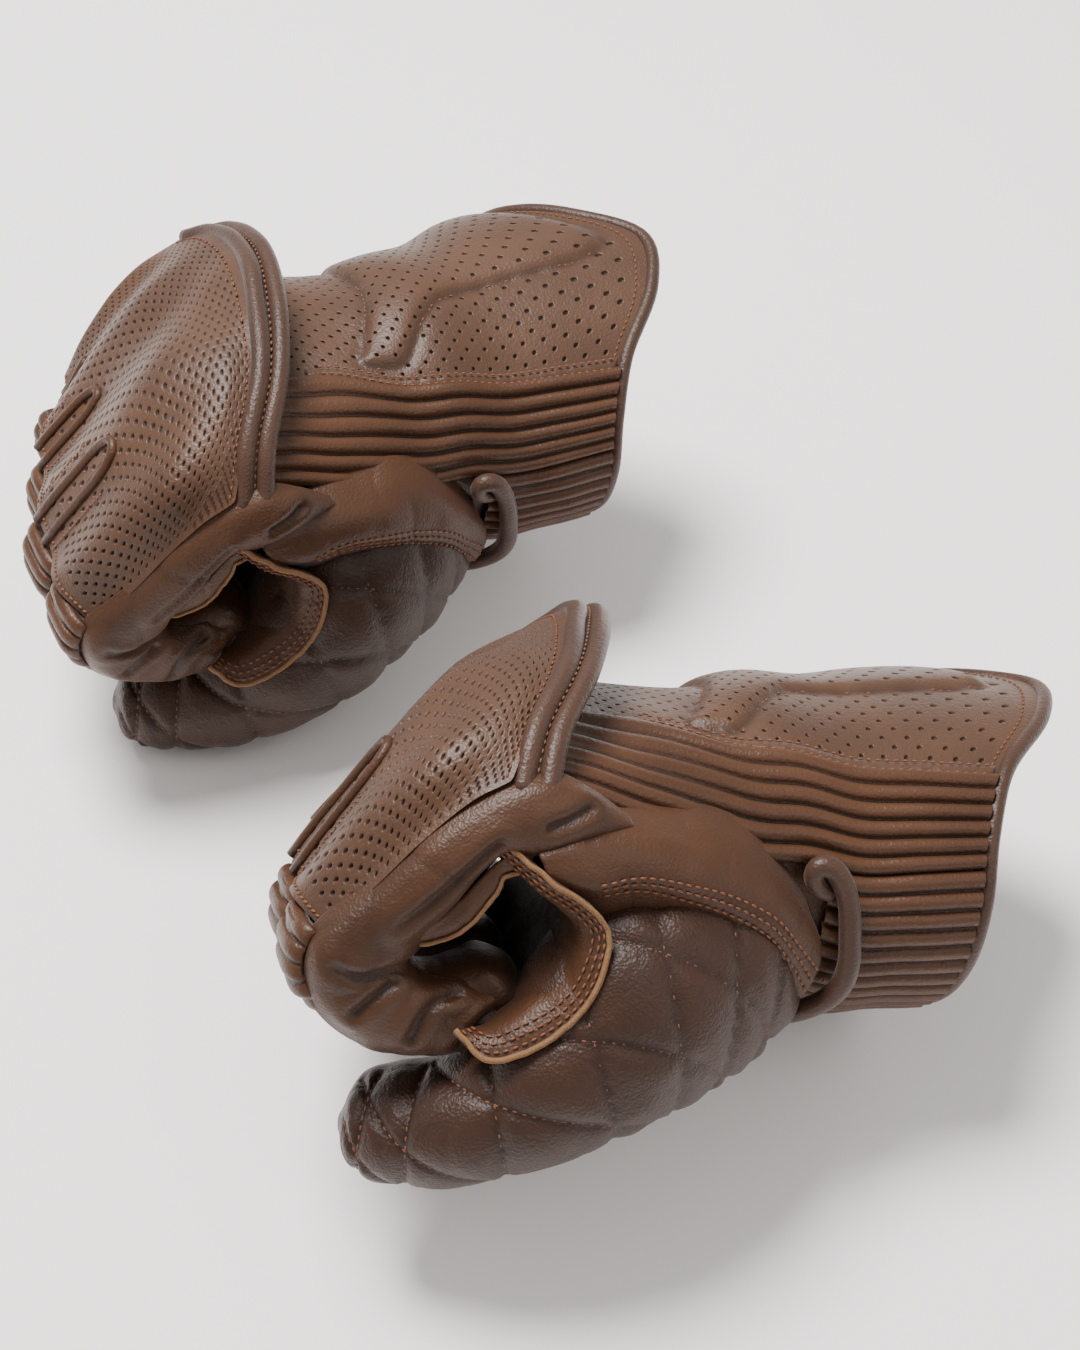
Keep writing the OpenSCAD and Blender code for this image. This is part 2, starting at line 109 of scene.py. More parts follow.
SIDE_PANEL = np.array([
    [[12, -45.5, -4.5], [12.5, -46.5, -5.5], [13, -46.8, -6.3], [12, -46, -7.5], [11, -43, -9]],
    [[2, -45.5, 2], [2, -49, 0], [2, -51, -4], [1, -50, -8.4], [1, -45, -10.5]],
    [[-6, -45, 5.5], [-7, -50, 2.5], [-8, -52, -4], [-10, -50.5, -11.4], [-9, -44, -13]],
    [[-15, -44.5, 4], [-15, -49.5, 1], [-15, -52, -5], [-16, -50, -10.5], [-14, -43, -12.5]],
    [[-23, -44.5, -0.5], [-22.5, -49.5, -4], [-22, -51.5, -9.5], [-22, -49.5, -16], [-19, -43, -18]],
    [[-33, -44.5, -8.5], [-31.5, -49.5, -11.5], [-29.5, -51, -16.5], [-27, -49, -23], [-23.5, -42, -25]],
    [[-43, -43.5, -19.5], [-41, -48.5, -22], [-37.5, -50, -26], [-33, -48, -30], [-29, -42, -31]],
    [[-54.5, -41, -30.5], [-52, -46.5, -31.5], [-46, -49, -33], [-37, -47.5, -35], [-32, -42, -36]],
    [[-57.5, -41, -38], [-54.5, -46.5, -38], [-47, -48.5, -38.5], [-39, -46.5, -39], [-34, -41, -39]],
    [[-56, -41, -47], [-52.5, -46, -45.5], [-46, -47.5, -43], [-38.5, -46, -41.5], [-33, -41, -41]],
    [[-49.5, -41, -55], [-47, -45.5, -52], [-42, -47, -47], [-35, -46, -44], [-30, -41, -43]],
    [[-39.5, -41, -61], [-38, -45.5, -57], [-34.5, -47, -51.5], [-29.5, -46, -47], [-26, -41, -44.5]],
    [[-29, -40.5, -63], [-28, -45, -59.5], [-26, -46.5, -54], [-23, -45.5, -48.5], [-21, -41, -45]],
    [[-18, -39, -62], [-17.5, -43.5, -58.5], [-17, -45, -54], [-15, -44, -49], [-14, -40, -46]],
    [[-9, -37, -58], [-8.5, -40, -56], [-8, -41, -53], [-8, -40, -50], [-8, -37, -47.5]],
], float)
SIDE_CREASES = [
    [(-51, -47, -39), (-46, -48.5, -41), (-41, -48, -40.5), (-35, -46, -39.5)],
    [(-46, -47, -50), (-42, -48, -46), (-38, -47, -43)],
    [(-33, -46, -56), (-31, -47.5, -51), (-27.5, -47, -47.5), (-23, -45, -46)],
    [(-21, -44.5, -58), (-17, -45, -53), (-12, -43.5, -50), (-7, -41, -48)],
    [(-38, -49, -28), (-31, -50.5, -22), (-24, -51, -15), (-18, -51.5, -9)],
    [(2, -50.5, -1), (-2, -51.5, -3), (-7, -52, -5)],
]
WEB_BAND = np.array([
    [[-9, -43, -9], [-9, -51, -11.5], [-8, -52, -13.5], [-7, -52, -16], [-5, -50, -18.5], [-3, -43, -20]],
    [[1, -43, -5], [1, -50.5, -8], [2, -53, -12.5], [2, -53.5, -17], [4, -51, -21], [5, -44, -30]],
    [[13, -40, -3], [13, -47.5, -6.5], [14, -51.5, -10], [14, -53, -15], [15, -51, -20], [16, -44, -31]],
    [[23, -37, -4], [23, -45.5, -7.5], [25, -50, -11], [26, -52, -17], [27, -50, -23], [27, -43, -33]],
    [[33, -36, -5], [33, -44.5, -9], [35, -48, -14], [37, -50, -20.5], [38, -49, -27], [38, -42, -36]],
    [[43, -36, -9], [43, -44, -13.5], [46, -47, -19.5], [48, -48.5, -26], [48, -47.5, -33], [47, -41, -41]],
    [[52, -37, -17], [52, -43.5, -21.5], [55, -45.5, -27.5], [56, -46.5, -34], [55, -45, -41], [53, -39, -48]],
    [[59, -37, -25], [59, -42, -28.5], [62, -43.5, -35], [62.5, -43.5, -41], [60, -42, -48], [57, -36, -51]],
], float)
OUTER_SIDE = np.array([
    [[30, 45, -4], [31, 47.5, -12], [31, 45, -22], [30, 36, -30]],
    [[18, 49, 4], [19, 51, -6], [18, 49, -17], [16, 40, -24]],
    [[7, 52.5, 9], [6, 54, -2], [4, 52, -12], [0, 43, -19]],
    [[-3, 52.5, 2.5], [-5, 54, -7], [-8, 52, -16], [-12, 44, -21]],
    [[-13, 51.5, -7.5], [-15, 53, -15], [-17, 51, -22], [-20, 44, -26]],
    [[-22, 50.5, -18.5], [-23, 51.5, -24], [-24, 49, -29], [-25, 43, -31]],
], float)
CROTCH_PATCH = np.array([
    [[-24, -50, -53], [-21, -48.5, -53.5], [-18, -45, -54.5], [-14, -36, -56], [-8, -12, -58], [0, 30, -58]],
    [[-17.5, -54.5, -58], [-16, -52.5, -54.5], [-14.5, -48.5, -52], [-11, -38, -51], [-6, -12, -52], [2, 30, -52]],
    [[-9.5, -57, -55.5], [-9.5, -54.5, -51], [-9, -50, -48], [-7, -38, -47], [-2, -12, -47], [5, 30, -46]],
    [[-1, -58, -49], [-2, -55.5, -45.5], [-3.5, -50.5, -43], [-3, -38, -42], [1, -12, -41], [8, 30, -38]],
    [[4.5, -58, -41.5], [2.5, -55.5, -39.5], [0, -50, -38.5], [-0.5, -38, -37.5], [3, -12, -35], [10, 30, -31]],
    [[7, -57, -34], [4.5, -55, -33.5], [1.5, -50, -33.5], [0, -38, -32], [4, -12, -28], [11, 30, -24]],
    [[7.2, -55.5, -28], [5, -54, -28.5], [1.5, -49.5, -28.5], [0, -38, -27], [4, -12, -22], [11, 30, -17]],
    [[3, -55, -22.5], [1, -53.5, -24], [-2, -49, -25], [-3, -38, -23], [2, -12, -16], [9, 30, -11]],
    [[-5.5, -54, -17], [-7, -52.5, -19], [-8, -48, -20.5], [-8, -37, -18], [-2, -12, -11], [6, 30, -7]],
    [[-11.5, -52, -13], [-12, -50, -15.5], [-12, -46, -17], [-12, -36, -14], [-6, -12, -8], [3, 30, -4]],
    [[-15, -49.5, -10.5], [-17, -47.5, -12], [-17, -43, -12.5], [-16, -34, -10], [-9, -12, -5], [0, 30, -1]],
], float)
INNER_STRIP = np.array([
    [[-9.5, -49.5, -12], [-10, -48, -15.5], [-9, -44, -17.5]],
    [[-15, -49, -12.5], [-16, -48, -17], [-14, -44, -19]],
    [[-19.5, -48.5, -16.5], [-17.8, -48, -21.5], [-15, -44, -22.5]],
    [[-24, -48, -22], [-22, -47.5, -27.7], [-18, -43, -28]],
    [[-29, -47.5, -27.5], [-27, -46.5, -31.8], [-23, -42, -32]],
    [[-35, -46, -31.5], [-33, -45, -34], [-29, -41, -34.5]],
], float)
LOOP_PATH = np.array([
    [63.5, -42.5, -23.5], [60.5, -43, -22], [58.4, -43.5, -19], [59.4, -44, -16.2], [63, -44.5, -17], [66, -44.8, -21.5],
    [67.8, -44.8, -27], [68.8, -44.5, -33], [69.6, -44, -39.5], [69.2, -42.5, -45.5], [66.8, -40, -50.5],
    [62, -36, -55], [57, -30, -58.5],
], float)
# Quilting lines run across the thumb (u at v = 1) and slantwise over it.
QUILT_ACROSS = (6.5, 5.35, 3.9, 2.72, 1.95, 1.3, 0.6)
QUILT_SLANT = (7.3, 5.9, 3.94, 2.71, 1.65, 0.6)
# Outline of the raised pad on the back of the cuff, as steps along (u) and round (v) the wrist.
PAD_OUTLINE = [(3.15, 6.3), (3.3, 4.6), (2.78, 3.35), (2.6, 3.05), (2.8, 2.85), (3.35, 2.8), (4.03, 3.5),
               (4.6, 3.8), (6.05, 3.74), (6.45, 3.8), (6.7, 4.2), (6.7, 6.3)]
RIB_SEAM = ([0, 0.9, 2.1, 2.9, 3.6, 4.75, 6.9, 7.2], [3.05, 3.05, 2.95, 2.5, 2.3, 2.12, 1.86, 1.84])
RIB_FOOT = ([0, 0.36, 1.4, 2.8, 4.15, 7.2], [0.75, 0.68, 0.42, 0.36, 0.46, 0.5])
FAR_SEAM = 6.6
LONG_RIBS = 6
SHORT_RIBS = 11
SHORT_RIB_START = 4.42
SHORT_RIB_FOOT = -2.7


# --- curves and surfaces ----------------------------------------------------------------------------
def blend_weights(f):
    """The four weights of a smooth curve through its points, at fraction f between the middle two."""
    return (0.5 * (2 * f**2 - f - f**3), 0.5 * (2 - 5 * f**2 + 3 * f**3),
            0.5 * (f + 4 * f**2 - 3 * f**3), 0.5 * (f**3 - f**2))


def surface(net, u, v, ring=False):
    """Points of a net of control points at rows u and columns v; a ring closes on itself across."""
    u, v = np.broadcast_arrays(np.asarray(u, float), np.asarray(v, float))
    rows, cols = net.shape[:2]
    wide = np.concatenate([2 * net[:1] - net[1:2], net, 2 * net[-1:] - net[-2:-1]])
    if ring:
        wide = np.concatenate([wide[:, -1:], wide, wide[:, :2]], axis=1)
        v = v % cols
        j = np.clip(np.floor(v).astype(int), 0, cols - 1)
    else:
        wide = np.concatenate([2 * wide[:, :1] - wide[:, 1:2], wide, 2 * wide[:, -1:] - wide[:, -2:-1]], axis=1)
        j = np.clip(np.floor(v).astype(int), 0, cols - 2)
    i = np.clip(np.floor(u).astype(int), 0, rows - 2)
    across, along = blend_weights(v - j), blend_weights(u - i)
    return sum((along[a] * across[b])[..., None] * wide[i + a, j + b] for a in range(4) for b in range(4))


def unit(v):
    return v / np.maximum(np.linalg.norm(v, axis=-1, keepdims=True), 1e-9)


def normals(net, u, v, ring=False, outward=1):
    step = 0.02
    u, v = np.broadcast_arrays(np.asarray(u, float), np.asarray(v, float))
    du = surface(net, u + step, v, ring) - surface(net, u - step, v, ring)
    dv = surface(net, u, v + step, ring) - surface(net, u, v - step, ring)
    return outward * unit(np.cross(du, dv))


def curve(points, count):
    """Evenly spaced points on a smooth line through the control points."""
    points = np.asarray(points, float)
    t = np.linspace(0, len(points) - 1, 12 * len(points))
    net = points[:, None, :].repeat(2, axis=1)
    fine = surface(net, t, np.zeros_like(t))
    reach = np.concatenate([[0], np.cumsum(np.linalg.norm(np.diff(fine, axis=0), axis=1))])
    even = np.linspace(0, reach[-1], count)
    return np.stack([np.interp(even, reach, fine[:, k]) for k in range(3)], axis=1)


def ripple(points, size, seed):
    """Smooth unevenness from -1 to 1, with lumps of about the given size in millimetres."""
    rng = np.random.default_rng(seed)
    total = np.zeros(points.shape[:-1])
    for _ in range(7):
        wave = rng.normal(size=3) * 2.2 / size
        total += np.sin(points @ wave + rng.uniform(0, 6.28))
    return total / 4.2


def wrinkles(points, size, seed):
    """Thin creases, 0 on smooth leather and 1 in the middle of a crease."""
    return (1 - np.minimum(1, np.abs(ripple(points, size, seed)) * 2.2)) ** 3


def distance_to(points, lines):
    """Distance from each point to the nearest of several lines of close points."""
    flat = points.reshape(-1, 3)
    targets = np.concatenate([np.asarray(line).reshape(-1, 3) for line in lines])
    best = np.full(len(flat), 1e9)
    for start in range(0, len(targets), 64):
        part = targets[start:start + 64]
        best = np.minimum(best, np.linalg.norm(flat[:, None] - part[None], axis=2).min(axis=1))
    return best.reshape(points.shape[:-1])


def cuff_net():
    rows = []
    for i, (x, cy, cz, wide, high) in enumerate(OVALS):
        share = max(0, i - 4) / (len(OVALS) - 5)
        angles = np.radians(360 / OVAL_STEPS * np.arange(OVAL_STEPS))
        reach = share**2 * HEM_POINT * np.exp(-(((np.degrees(angles) - 85) / 35) ** 2))
        rows.append(np.stack([x + reach, cy - wide * np.cos(angles), cz + high * np.sin(angles)], axis=1))
    return np.array(rows)


def hand_net():
    rows = []
    for x, z, thick, lean, wide, droop, skew in HAND:
        angles = np.radians(22.5 * np.arange(16))
        y = -wide * np.cos(angles)
        h = thick * np.sin(angles) - droop * (np.maximum(0, y) / wide) ** 1.5
        lean = math.radians(lean)
        rows.append(np.stack([x - h * math.sin(lean) + skew * np.maximum(0, y + 20), y + 4,
                              z + h * math.cos(lean)], axis=1))
    return np.array(rows)


def thumb_net():
    rows = []
    centres = np.array([s[:3] for s in THUMB], float)
    for i, (x, y, z, high, deep) in enumerate(THUMB):
        t = unit(centres[min(i + 1, len(THUMB) - 1)] - centres[max(i - 1, 0)])
        out = unit(np.cross([0, 0, 1], t))
        up = np.cross(t, out)
        angles = np.radians(360 / 14 * np.arange(14))[:, None]
        rows.append(centres[i] + out * deep * np.cos(angles) + up * high * np.sin(angles))
    return np.array(rows)


CUFF = cuff_net()
HAND_NET = hand_net()
THUMB_NET = thumb_net()


# --- meshes -----------------------------------------------------------------------------------------
def place_matrix(side):
    turn, move = PLACES[side]
    rotation = Euler([math.radians(a) for a in turn], "XYZ").to_matrix().to_4x4()
    return Matrix.Scale(MILLIMETRE, 4) @ Matrix.Translation(move) @ rotation


def grid_bmesh(points, shade=None):
    """A grid of faces whose corners sit on the points; shade is painted shade, 0 on a ridge and 1 in a crease."""
    rows, cols = points.shape[:2]
    bm = bmesh.new()
    bmesh.ops.create_grid(bm, x_segments=rows - 1, y_segments=cols - 1, size=1)
    layer = bm.verts.layers.float.new("crease")
    for vert in bm.verts:
        i = round((vert.co.x + 1) / 2 * (rows - 1))
        j = round((vert.co.y + 1) / 2 * (cols - 1))
        vert.co = points[i, j]
        if shade is not None:
            vert[layer] = shade[i, j]
    return bm


def close_tube(bm):
    """Joins the first and last columns of a grid and closes both ends."""
    bmesh.ops.remove_doubles(bm, verts=bm.verts, dist=0.02)
    bmesh.ops.holes_fill(bm, edges=[edge for edge in bm.edges if edge.is_boundary])


def face_outward(bm, away_from=None):
    """Turns all faces the same way: outward, or away from a point that the sheet curves round."""
    bmesh.ops.recalc_face_normals(bm, faces=bm.faces)
    if away_from is None:
        return
    score = sum((f.calc_center_median() - Vector(away_from)).dot(f.normal) for f in bm.faces)
    if score < 0:
        bmesh.ops.reverse_faces(bm, faces=bm.faces)


def tube_bmesh(path, radius, sides=12, up=(0, 0, 1), shade=0.0):
    """A roll of leather along a path, closed at both ends; up is a direction that it never runs along; shade is
    painted shade over the whole roll.
    """
    path = np.asarray(path, float)
    n = len(path)
    radius = np.broadcast_to(np.asarray(radius, float), (n,)).copy()
    bm = bmesh.new()
    rings = []
    for i in range(n):
        t = unit(path[min(i + 1, n - 1)] - path[max(i - 1, 0)])
        a = unit(np.cross(t, up))
        b = np.cross(t, a)
        basis = Matrix((a, b, t)).transposed().to_4x4()
        ring = bmesh.ops.create_circle(bm, segments=sides, radius=radius[i],
                                       matrix=Matrix.Translation(path[i]) @ basis)["verts"]
        rings.append([e for v in ring for e in v.link_edges])
    for first, second in zip(rings, rings[1:]):
        bmesh.ops.bridge_loops(bm, edges=list(set(first + second)))
    for ring, end in ((rings[0], path[0]), (rings[-1], path[-1])):
        edges = list(set(ring))
        caps = bmesh.ops.edgeloop_fill(bm, edges=[e for e in edges if len(e.link_faces) < 2])["faces"]
        for cap in caps:
            bmesh.ops.poke(bm, faces=[cap])
    layer = bm.verts.layers.float.new("crease")
    for vert in bm.verts:
        vert[layer] = shade
    bmesh.ops.recalc_face_normals(bm, faces=bm.faces)
    return bm


def ring_roll(path, radius, sides=12):
    """A roll that closes on itself."""
    n = len(path)
    bm = bmesh.new()
    rings = []
    for i in range(n):
        t = unit(path[(i + 1) % n] - path[i - 1])
        a = unit(np.cross(t, (1, 0.1, 0.1)))
        b = np.cross(t, a)
        basis = Matrix((a, b, t)).transposed().to_4x4()
        ring = bmesh.ops.create_circle(bm, segments=sides, radius=radius,
                                       matrix=Matrix.Translation(path[i]) @ basis)["verts"]
        rings.append(list({e for v in ring for e in v.link_edges}))
    for i in range(n):
        bmesh.ops.bridge_loops(bm, edges=rings[i] + rings[(i + 1) % n])
    bm.verts.layers.float.new("crease")
    bmesh.ops.recalc_face_normals(bm, faces=bm.faces)
    return bm


def stitches(bm, path, ups, pitch=None, thick=None, share=0.72, lift=0.1, slant=0.0):
    """Adds a row of thread stitches along a path of close points to a bmesh."""
    sizes = bpy.context.scene.glove_sizes
    pitch = pitch or sizes.stitch_pitch
    thick = thick or sizes.thread
    path, ups = np.asarray(path, float), np.asarray(ups, float)
    reach = np.concatenate([[0], np.cumsum(np.linalg.norm(np.diff(path, axis=0), axis=1))])
    count = max(1, int(reach[-1] / pitch))
    batch = bmesh.new()
    for k in range(count):
        at = (k + 0.5) * reach[-1] / count
        p, a, b = (np.array([np.interp(at + d, reach, path[:, c]) for c in range(3)])
                   for d in (0, -pitch / 2, pitch / 2))
        up = unit(np.array([np.interp(at, reach, ups[:, c]) for c in range(3)]))
        t = unit(b - a)
        t = unit(t + slant * np.cross(up, t))
        side = unit(np.cross(up, t))
        up = np.cross(t, side)
        basis = Matrix((t * pitch * share / 2, side * thick, up * thick)).transposed().to_4x4()
        bmesh.ops.create_uvsphere(batch, u_segments=6, v_segments=4, radius=1,
                                  matrix=Matrix.Translation(p + up * lift) @ basis
                                  @ Matrix.Rotation(math.pi / 2, 4, "Y"))
        if k % BATCH == BATCH - 1:
            merge_into(bm, batch)
            batch = bmesh.new()
    merge_into(bm, batch)


def finish_piece(bm, name, side, materials, rides=None, bends=None, replaces=(),
                 smooth=True, wall=0.0, soften=0):
    """Turns a bmesh in a glove's own frame into a piece of the scene that rides on a body, or, when bends is given,
    is fixed in place in the scene.
    """
    mesh = bpy.data.meshes.new(f"{side}_{name}")
    bm.transform(place_matrix(side))
    bm.normal_update()
    bm.to_mesh(mesh)
    bm.free()
    for polygon in mesh.polygons:
        polygon.use_smooth = smooth
    for material in materials:
        mesh.materials.append(material)
    piece = bpy.data.objects.new(f"{side}_{name}", mesh)
    bpy.context.scene.collection.objects.link(piece)
    if wall:
        shell = piece.modifiers.new("wall", "SOLIDIFY")
        shell.thickness = wall * MILLIMETRE
        shell.offset = -1
    if soften:
        smoothing = piece.modifiers.new("soften", "SUBSURF")
        smoothing.levels = soften
        smoothing.render_levels = soften
    if bends:
        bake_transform(piece)
    else:
        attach(piece, f"{side}_{rides}")
    if replaces:
        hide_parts(*[f"{side}_{node}" for node in replaces])
    return piece


WRIST_BEND = ("hand", "cuff", (45, 0, -20), (70, 0, -20))
THUMB_BEND = ("hand", "thumb", (58, -30, -44), (30, -38, -50))
INDEX_BEND = ("hand", "index", (-44, -45, -24), (-50, -45, -42))


# --- materials --------------------------------------------------------------------------------------
def nodes_of(name):
    material = bpy.data.materials.new(name)
    material.use_nodes = True
    tree = material.node_tree
    return material, tree, tree.nodes["Principled BSDF"]


def leather(name, colour, roughness=0.48, grain=0.35, painted_shade_factor=0.45, sheen=0.25, mottle=0.16):
    """Grained leather: painted shade makes it darker in its creases; it is paler and smoother on its ridges."""
    material, tree, shader = nodes_of(name)
    node, link = tree.nodes.new, tree.links.new
    place = node("ShaderNodeTexCoord")
    cells = node("ShaderNodeTexVoronoi")
    cells.inputs["Scale"].default_value = 1400
    fine = node("ShaderNodeTexNoise")
    fine.inputs["Scale"].default_value = 900
    fine.inputs["Detail"].default_value = 4
    broad = node("ShaderNodeTexNoise")
    broad.inputs["Scale"].default_value = 42
    broad.inputs["Detail"].default_value = 5
    for texture in (cells, fine, broad):
        link(place.outputs["Object"], texture.inputs["Vector"])
    # Painted shade: the 'crease' attribute mixes the colour toward deep, a darker shaded copy of it.
    crease = node("ShaderNodeAttribute")
    crease.attribute_name = "crease"
    tone = node("ShaderNodeValToRGB")
    deep = tuple(c * painted_shade_factor for c in colour)
    light = tuple(min(1, c * (1 + mottle)) for c in colour)
    tone.color_ramp.elements[0].color = (*[c * (1 - mottle) for c in colour], 1)
    tone.color_ramp.elements[0].position = 0.32
    tone.color_ramp.elements[1].color = (*light, 1)
    tone.color_ramp.elements[1].position = 0.68
    link(broad.outputs["Fac"], tone.inputs["Fac"])
    shade = node("ShaderNodeMix")
    shade.data_type = "RGBA"
    shade.inputs["B"].default_value = (*deep, 1)
    link(tone.outputs["Color"], shade.inputs["A"])
    link(crease.outputs["Fac"], shade.inputs["Factor"])
    link(shade.outputs["Result"], shader.inputs["Base Color"])
    rough = node("ShaderNodeMapRange")
    rough.inputs["To Min"].default_value = roughness - 0.08
    rough.inputs["To Max"].default_value = roughness + 0.1
    link(fine.outputs["Fac"], rough.inputs["Value"])
    link(rough.outputs["Result"], shader.inputs["Roughness"])
    height = node("ShaderNodeMath")
    height.operation = "MULTIPLY_ADD"
    height.inputs[1].default_value = 0.6
    link(cells.outputs["Distance"], height.inputs[0])
    link(fine.outputs["Fac"], height.inputs[2])
    bump = node("ShaderNodeBump")
    bump.inputs["Strength"].default_value = grain
    bump.inputs["Distance"].default_value = 0.0004
    link(height.outputs["Value"], bump.inputs["Height"])
    link(bump.outputs["Normal"], shader.inputs["Normal"])
    shader.inputs["Sheen Weight"].default_value = sheen
    shader.inputs["Sheen Roughness"].default_value = 0.45
    shader.inputs["Specular IOR Level"].default_value = 0.27
    return material


def fibre(name, colour, roughness=0.8, scale=3000.0, strength=0.5):
    """Thread, raw leather edge, knitted lining or foam: a rough, fibrous surface."""
    material, tree, shader = nodes_of(name)
    node, link = tree.nodes.new, tree.links.new
    place = node("ShaderNodeTexCoord")
    noise = node("ShaderNodeTexNoise")
    noise.inputs["Scale"].default_value = scale
    noise.inputs["Detail"].default_value = 3
    link(place.outputs["Object"], noise.inputs["Vector"])
    tone = node("ShaderNodeValToRGB")
    tone.color_ramp.elements[0].color = (*[c * 0.62 for c in colour], 1)
    tone.color_ramp.elements[0].position = 0.3
    tone.color_ramp.elements[1].color = (*[min(1, c * 1.25) for c in colour], 1)
    tone.color_ramp.elements[1].position = 0.7
    link(noise.outputs["Fac"], tone.inputs["Fac"])
    link(tone.outputs["Color"], shader.inputs["Base Color"])
    bump = node("ShaderNodeBump")
    bump.inputs["Strength"].default_value = strength
    bump.inputs["Distance"].default_value = 0.0003
    link(noise.outputs["Fac"], bump.inputs["Height"])
    link(bump.outputs["Normal"], shader.inputs["Normal"])
    shader.inputs["Roughness"].default_value = roughness
    return material


def backdrop_paper(colour):
    material, tree, shader = nodes_of("backdrop_paper")
    shader.inputs["Base Color"].default_value = (*colour, 1)
    shader.inputs["Roughness"].default_value = 0.9
    return material


MADE = {}


def finish_of(name):
    """The named finish, made once from the colours in the panel."""
    if name in MADE:
        return MADE[name]
    colours = bpy.context.scene.glove_colours
    recipes = {
        "punched": lambda: leather("punched_leather", tuple(colours.punched), 0.42, 0.35, 0.4, 0.12),
        # Painted shadow inside the punched holes.
        "punched_hole_shadow": lambda: fibre("hole_shadow", (0.018, 0.011, 0.008), 0.9),
        "plain": lambda: leather("plain_leather", tuple(colours.plain), 0.42, 0.4, 0.35, 0.05),
        "ribbed": lambda: leather("ribbed_leather", tuple(colours.ribbed), 0.4, 0.35, 0.15, 0.05),
        "edging": lambda: leather("edging_leather", tuple(colours.edging), 0.42, 0.4, 0.35, 0.1),
        "quilted": lambda: leather("quilted_leather", tuple(colours.quilted), 0.44, 0.55, 0.4, 0.05),
        # Painted shade: a darker shaded copy of the plain leather, for the palm inside the fist.
        "inner": lambda: leather("shaded_inner_leather", tuple(c * 0.45 for c in colours.plain), 0.55, 0.4),
        "raw": lambda: fibre("raw_edge", tuple(colours.raw), 0.85),
        "thread": lambda: fibre("thread", tuple(colours.thread), 0.7, 5200.0, 0.6),
        "lining": lambda: fibre("knit_lining", (0.02, 0.019, 0.018), 0.9, 2200.0),
        "foam": lambda: fibre("foam", (0.012, 0.012, 0.012), 0.95, 1600.0),
    }
    MADE[name] = recipes[name]()
    return MADE[name]


# --- pieces -----------------------------------------------------------------------------------------
def punch(bm, chosen, edge, deep):
    """Punches round holes through the chosen faces; the second material, a painted shadow, lines them."""
    bmesh.ops.inset_individual(bm, faces=chosen, thickness=edge, depth=0.0)
    bmesh.ops.inset_individual(bm, faces=chosen, thickness=0.02, depth=-deep)
    for face in chosen:
        face.material_index = 1


def number_cells(bm, rows, cols):
    """Gives each grid face its row and column before anything else is cut."""
    layer_i = bm.faces.layers.int.new("cell_row")
    layer_j = bm.faces.layers.int.new("cell_column")
    for face in bm.faces:
        c = face.calc_center_median()
        face[layer_i] = int((c.x + 1) / 2 * (rows - 1))
        face[layer_j] = int((c.y + 1) / 2 * (cols - 1))
    return layer_i, layer_j


def numbered_grid(points, shade):
    """As grid_bmesh, with each face's row and column kept."""
    rows, cols = points.shape[:2]
    bm = bmesh.new()
    bmesh.ops.create_grid(bm, x_segments=rows - 1, y_segments=cols - 1, size=1)
    layers = number_cells(bm, rows, cols)
    # The shade is painted shade, kept in the 'crease' attribute.
    layer = bm.verts.layers.float.new("crease")
    for vert in bm.verts:
        i = round((vert.co.x + 1) / 2 * (rows - 1))
        j = round((vert.co.y + 1) / 2 * (cols - 1))
        vert.co = points[i, j]
        vert[layer] = shade[i, j]
    return bm, layers


def row_path(net, u, v, lift=0.0, ring=False, outward=1):
    """A line on a surface and its outward directions."""
    ups = normals(net, u, v, ring, outward)
    return surface(net, u, v, ring) + ups * lift, ups


def knuckle_relief(points, u, v):
    """Soft knuckle mounds and the valleys between them, in millimetres."""
    valleys = np.cos(2 * np.pi * (v - 0.9) / 1.75)
    return 1.5 * valleys * np.clip((u - 0.7) / 1.2, 0, 1) + 0.6 * ripple(points, 24, 3)


def knuckle_surface(u, v):
    """The knuckle cover's outer face and its outward directions."""
    points = surface(KNUCKLES, u, v)
    ups = normals(KNUCKLES, u, v, outward=-1)
    return points + ups * (1.6 + knuckle_relief(points, u, v))[..., None], ups


def build_knuckles(side):
    sizes = bpy.context.scene.glove_sizes
    rows = int(88 / sizes.knuckle_cell)
    cols = int(122 / sizes.knuckle_cell)
    u, v = np.meshgrid(np.linspace(-0.06, 4, rows + 1), np.linspace(-0.05, 6, cols + 1), indexing="ij")
    points, _ = knuckle_surface(u, v)
    # Painted shade: darker along the index-finger edge and where the cover turns down towards the fingers.
    shade = np.clip(0.25 * (1 - np.minimum(v, 1) / 1) + 0.35 * (u - 3.4), 0, 1)
    bm, (layer_i, layer_j) = numbered_grid(points, shade)
    face_outward(bm, away_from=(-10, 0, -30))
    chosen = [f for f in bm.faces if (f[layer_i] + f[layer_j]) % 2 == 0
              and 2 <= f[layer_i] < rows - 2 and 1 <= f[layer_j] < cols - 1]
    hole = sizes.knuckle_hole
    punch(bm, chosen, (sizes.knuckle_cell - hole) / 2, 0.9)
    finish_piece(bm, "knuckle_cover", side, [finish_of("punched"), finish_of("punched_hole_shadow")], rides="hand",
                 replaces=["knuckle_panel"], soften=1)

    u, v = np.meshgrid(np.linspace(0.12, 3.2, 24), np.linspace(0.3, 5.8, 36), indexing="ij")
    ups = normals(KNUCKLES, u, v, outward=-1)
    foam = grid_bmesh(surface(KNUCKLES, u, v) - ups * 0.4)
    face_outward(foam, away_from=(-10, 0, -30))
    finish_piece(foam, "knuckle_foam", side, [finish_of("foam")], rides="hand",
                 replaces=["knuckle_pad"], wall=3.6)


